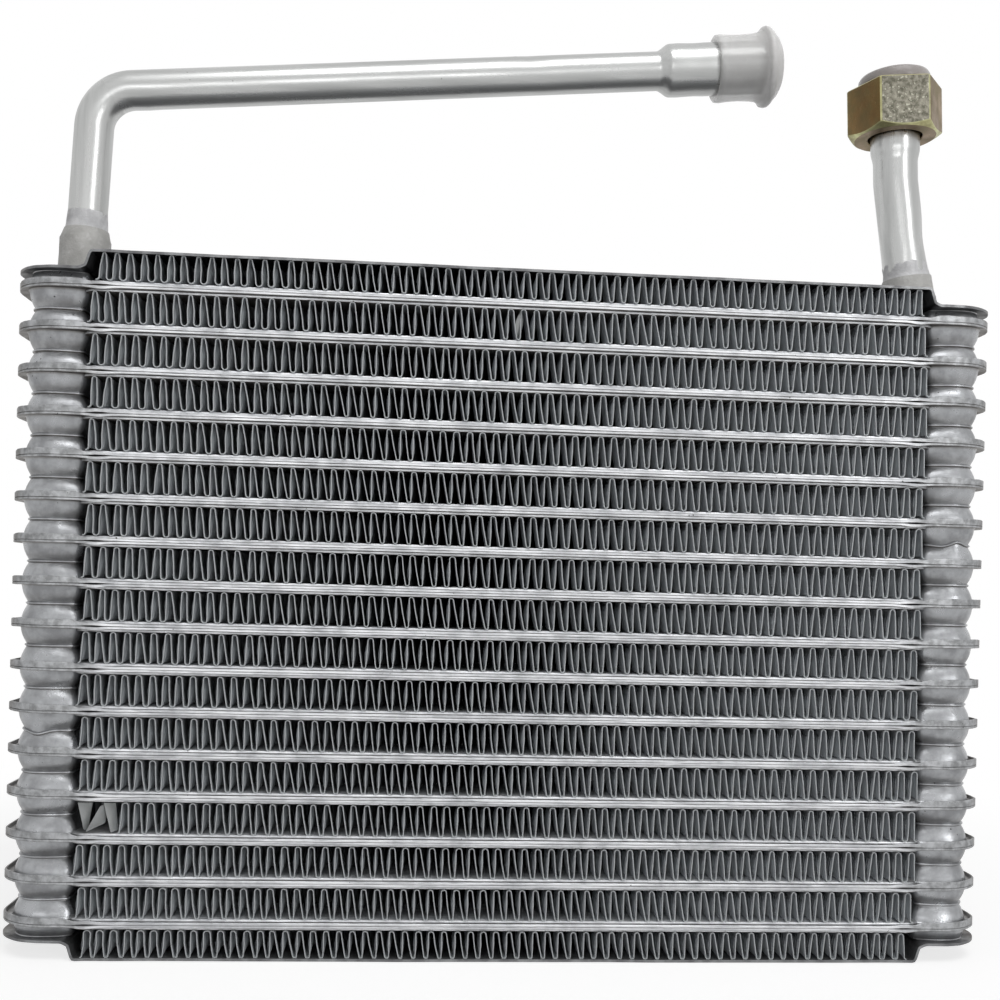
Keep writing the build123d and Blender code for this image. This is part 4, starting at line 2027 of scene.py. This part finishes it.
@dataclass
class OutletNut:
    """Hexagon nut that turns on the tube, and the plug in its mouth."""

    wardrobe: Wardrobe
    line: OutletLine
    flats: float = 28.6
    height: float = 17.0
    turn: float = -7.5
    back_face: float = 13.7
    bevel_angle: float = 30.0
    back_wall: float = 4.0
    thread: float = 10.8
    plug_head: float = 12.2
    plug_height: float = 5.3
    plug_sides: int = 56
    hole_gap: float = 0.9
    thread_pitch: float = 1.7
    thread_turns: int = 6
    corner_ease: float = 0.28
    corner_offsets: tuple[float, ...] = (-30, -24, -16, -8, -3, -1.2, 0, 1.2, 3, 8, 16, 24)
    side_levels: tuple[int, ...] = (4, 5, 6)
    worn_levels: tuple[int, ...] = (3, 4, 7)
    worn_places: tuple[int, ...] = (5, 6)

    @property
    def angles(self) -> list[float]:
        """Angles of the nut's points round its axis, closer together at the corners."""
        bases = [math.radians(self.turn + 60 * corner) for corner in range(6)]
        return [base + math.radians(offset) for base in bases for offset in self.corner_offsets]

    def place(self, radius: float, angle: float, height: float) -> Point:
        """Point on the nut's axis frame.

        Args:
            radius: distance from the axis.
            angle: angle round it in radians.
            height: distance from the back face.

        Returns:
            The point in the core's frame.
        """
        across, up = leaning_axes(self.line.top_lean)
        spot = self.line.path.beyond(self.line.nut_back) + up * height
        spot += across * (radius * math.cos(angle))
        return (spot.x, spot.y + radius * math.sin(angle), spot.z)

    def hex_radius(self, angle: float) -> float:
        """Distance from the axis to the hexagon, with eased corners.

        Args:
            angle: angle round the axis in radians.

        Returns:
            The distance.
        """
        sector = math.radians(60)
        local = (angle - math.radians(self.turn) + sector / 2) % sector - sector / 2
        reach = self.flats / 2 / math.cos(sector / 2)
        flat = self.flats / 2 / math.cos(abs(abs(local) - sector / 2))
        return min(flat, reach - self.corner_ease)

    def round_row(self, radius: float, height: float) -> list[Point]:
        """Ring of one radius round the nut's axis."""
        return [self.place(radius, angle, height) for angle in self.angles]

    def hex_row(self, inset: float, height: float | None, above: float = 0.0) -> list[Point]:
        """Ring along the flats, at a height or on the bevel.

        Args:
            inset: distance inside the flats.
            height: height over the back face, or None for the bevel's.
            above: distance over that height.

        Returns:
            The ring's points.
        """
        slope = math.tan(math.radians(self.bevel_angle))
        ring = []
        for angle in self.angles:
            radius = self.hex_radius(angle) - inset
            level = (radius - self.back_face) * slope if height is None else height
            ring.append(self.place(radius, angle, max(0.0, level) + above))
        return ring

    def nut(self) -> None:
        """Build the nut."""
        hole = self.line.swage + self.hole_gap
        rows = [
            self.round_row(hole, self.back_wall),
            self.round_row(hole, 0.3),
            self.round_row(hole + 0.3, 0.0),
            self.round_row(self.back_face, 0.0),
            self.hex_row(0.15, None),
            self.hex_row(0.0, None, 0.22),
            self.hex_row(0.0, self.height * 0.5),
            self.hex_row(0.0, self.height - 0.35),
            self.hex_row(0.35, self.height),
            self.round_row(self.thread + 0.8, self.height),
            self.round_row(self.thread, self.height - 0.8),
        ]
        for k in range(self.thread_turns):
            level = self.height - 1.6 - self.thread_pitch * k
            rows.append(self.round_row(self.thread - 0.5, level))
            rows.append(self.round_row(self.thread, level - self.thread_pitch / 2))
        rows.append(self.round_row(self.thread, self.back_wall))
        rows.append(self.round_row(hole, self.back_wall))
        mould = Mould()
        mould.loft(rows)
        piece = mould.piece("outlet_nut_zinc", crease=20.0)
        kinds = []
        sides = len(self.angles)
        for i in range(len(mould.faces)):
            level, place = divmod(i, sides)
            corner = place % len(self.corner_offsets) in self.worn_places
            worn = level in self.worn_levels or (corner and level in self.side_levels)
            kinds.append(1 if worn else 0)
        piece.data.polygons.foreach_set("material_index", kinds)
        materials = [self.wardrobe.zinc, self.wardrobe.zinc_edge]
        finish_piece(piece, Body.NUT, Slot.NUT, materials, "outlet_nut")

    def plug(self) -> None:
        """Build the plug."""
        stem = self.thread - 0.1
        head = self.plug_head
        top = self.height + self.plug_height
        profile = (
            (0.3, self.height - 8.0),
            (stem - 0.8, self.height - 8.0),
            (stem, self.height - 7.2),
            (stem, self.height - 0.2),
            (head - 0.7, self.height + 0.02),
            (head - 0.1, self.height + 0.5),
            (head, self.height + 1.4),
            (head - 0.1, top - 1.6),
            (head - 0.6, top - 0.7),
            (head - 1.6, top - 0.25),
            (head * 0.6, top - 0.05),
            (0.3, top),
        )
        rows = []
        for radius, height in profile:
            ring = []
            over = max(0.0, height - self.height - 1.0)
            for k in range(self.plug_sides):
                angle = 2 * math.pi * k / self.plug_sides
                sag = 0.16 * over * (0.6 - 0.5 * math.cos(angle + 0.5)) * (radius / head)
                x, y = radius * math.cos(angle), radius * math.sin(angle)
                loose = 0.12 * wander(x, y, height, 4.0)
                ring.append(self.place(radius - abs(loose), angle, height - sag))
            rows.append(ring)
        mould = Mould()
        rings = mould.loft(rows)
        mould.lid(rings[0])
        mould.lid(rings[-1])
        piece = mould.piece("outlet_plug_soft", crease=70.0)
        finish_piece(piece, Body.NUT, Slot.PLUG, [self.wardrobe.plug], "outlet_plug")

    def build(self) -> None:
        """Build the nut and the plug."""
        self.nut()
        self.plug()


# Studio


@dataclass(frozen=True)
class Lamp:
    """Soft area lamp that looks at the core.

    The turn is in degrees towards +X from straight in front and the rise in degrees above the
    horizon. The distance, width and height are in metres, and the power in watts.
    """

    name: str
    turn: float
    rise: float
    distance: float
    width: float
    height: float
    power: float
    aim_height: float = 0.14

    def build(self) -> None:
        """Place the lamp."""
        data = bpy.data.lights.new(self.name, "AREA")
        data.shape = "RECTANGLE"
        data.size, data.size_y = self.width, self.height
        data.energy = self.power
        lamp = bpy.data.objects.new(self.name, data)
        bpy.context.scene.collection.objects.link(lamp)
        a, b = math.radians(self.turn), math.radians(self.rise)
        way = Vector((math.sin(a) * math.cos(b), -math.cos(a) * math.cos(b), math.sin(b)))
        lamp.location = Vector((0, 0, self.aim_height)) + way * self.distance
        lamp.rotation_euler = (-way).to_track_quat("-Z", "Y").to_euler()


@dataclass
class Studio:
    """Camera, floor, lamps and world."""

    camera_place: tuple[float, float, float] = (-0.03415, -0.42496, 0.11609)
    yaw: float = 4.486
    pitch: float = 0.084
    roll: float = 1.502
    lens: float = 45.0
    sensor: float = 36.0
    shift: float = 0.08
    floor_colour: Colour = (0.40, 0.40, 0.40)
    floor_glow: float = 0.75
    floor_half: float = 6.0
    fade_from: float = 0.19
    fade_to: float = 0.42
    ambient: float = 0.23
    lamps: tuple[Lamp, ...] = (
        Lamp("top_light", 16.0, 58.0, 1.4, 1.1, 0.7, 8.0),
        Lamp("right_light", 32.0, 12.0, 2.4, 0.42, 1.1, 9.0),
        Lamp("front_light", -9.0, -7.0, 2.3, 1.35, 1.25, 13.5),
    )

    def camera(self) -> None:
        """Set up the camera at the photograph's viewpoint."""
        data = bpy.data.cameras.new("photo_view")
        data.sensor_width = self.sensor
        data.sensor_fit = "HORIZONTAL"
        data.lens = self.lens
        data.shift_y = self.shift
        data.clip_start = 0.01
        eye = bpy.data.objects.new("photo_view", data)
        bpy.context.scene.collection.objects.link(eye)
        yaw, pitch, roll = (math.radians(a) for a in (self.yaw, self.pitch, self.roll))
        flat = math.cos(pitch)
        ahead = Vector((math.sin(yaw) * flat, math.cos(yaw) * flat, math.sin(pitch)))
        right = Vector((math.cos(yaw), -math.sin(yaw), 0))
        up = right.cross(ahead)
        tilted_right = right * math.cos(roll) + up * math.sin(roll)
        tilted_up = up * math.cos(roll) - right * math.sin(roll)
        turn = Matrix((tilted_right, tilted_up, -ahead)).transposed().to_4x4()
        eye.matrix_world = Matrix.Translation(Vector(self.camera_place)) @ turn
        bpy.context.scene.camera = eye

    def backdrop_mask(self, tree: bpy.types.NodeTree) -> bpy.types.NodeSocket:
        """1 for camera, glossy and transmission rays.

        Args:
            tree: the tree that gets the nodes.

        Returns:
            The socket of the mask.
        """
        path = tree.nodes.new("ShaderNodeLightPath")
        seen, mirrored = path.outputs["Is Camera Ray"], path.outputs["Is Glossy Ray"]
        mask = worked_out(tree, "MAXIMUM", seen, mirrored)
        return worked_out(tree, "MAXIMUM", mask, path.outputs["Is Transmission Ray"])

    def world(self) -> None:
        """White background and an even ambient light."""
        world = bpy.data.worlds.new("white_room")
        bpy.context.scene.world = world
        world.use_nodes = True
        tree = world.node_tree
        sky = tree.nodes["Background"]
        sky.inputs["Color"].default_value = (1, 1, 1, 1)
        ramp = tree.nodes.new("ShaderNodeMapRange")
        ramp.inputs["To Min"].default_value = self.ambient
        ramp.inputs["To Max"].default_value = 1.0
        tree.links.new(self.backdrop_mask(tree), ramp.inputs["Value"])
        tree.links.new(ramp.outputs["Result"], sky.inputs["Strength"])

    def floor(self) -> None:
        """Pale floor that fades to white far from the core."""
        mesh = bpy.data.meshes.new("floor")
        half = self.floor_half
        edge = [(-half, -half, 0), (half, -half, 0), (half, half, 0), (-half, half, 0)]
        mesh.from_pydata(edge, [], [(0, 1, 2, 3)])
        floor = bpy.data.objects.new("floor", mesh)
        bpy.context.scene.collection.objects.link(floor)
        material = bpy.data.materials.new("pale_floor")
        material.use_nodes = True
        tree = material.node_tree
        shader = tree.nodes["Principled BSDF"]
        shader.inputs["Base Color"].default_value = (*self.floor_colour, 1)
        shader.inputs["Roughness"].default_value = 0.9
        shader.inputs["Specular IOR Level"].default_value = 0.1
        glow = worked_out(tree, "MULTIPLY", self.backdrop_mask(tree), self.floor_glow)
        shader.inputs["Emission Color"].default_value = (1, 1, 1, 1)
        tree.links.new(glow, shader.inputs["Emission Strength"])
        white = tree.nodes.new("ShaderNodeEmission")
        place = tree.nodes.new("ShaderNodeTexCoord")
        length = tree.nodes.new("ShaderNodeVectorMath")
        length.operation = "LENGTH"
        tree.links.new(place.outputs["Object"], length.inputs[0])
        far = tree.nodes.new("ShaderNodeMapRange")
        far.interpolation_type = "SMOOTHSTEP"
        far.inputs["From Min"].default_value = self.fade_from
        far.inputs["From Max"].default_value = self.fade_to
        tree.links.new(length.outputs["Value"], far.inputs["Value"])
        shown = worked_out(tree, "MULTIPLY", far.outputs["Result"], self.backdrop_mask(tree))
        mix = tree.nodes.new("ShaderNodeMixShader")
        tree.links.new(shown, mix.inputs["Fac"])
        tree.links.new(shader.outputs[0], mix.inputs[1])
        tree.links.new(white.outputs[0], mix.inputs[2])
        tree.links.new(mix.outputs[0], tree.nodes["Material Output"].inputs["Surface"])
        mesh.materials.append(material)

    def build(self) -> None:
        """Set up everything round the core."""
        bpy.context.scene.view_settings.view_transform = "Standard"
        self.camera()
        for lamp in self.lamps:
            lamp.build()
        self.world()
        self.floor()


def corners(box: Sequence[Sequence[float]]) -> list[list[float]]:
    """Corners of a box as plain lists."""
    return [[float(v) for v in corner] for corner in box]


def main() -> None:
    """Build the core and its studio."""
    logging.basicConfig(level=logging.INFO, format="%(name)s: %(message)s")
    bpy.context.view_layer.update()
    wardrobe = Wardrobe()
    Studio().build()
    FinBank(SIZES, wardrobe.fin, wardrobe.bent_fin).build()
    TubeStack(SIZES, wardrobe.tube, wardrobe.tank).build()
    EndPlates(SIZES, wardrobe.end).build()
    InletLine(SIZES, wardrobe).build()
    outlet = OutletLine(SIZES, wardrobe)
    outlet.build()
    OutletNut(wardrobe, outlet).build()


if __name__ == "__main__":
    main()
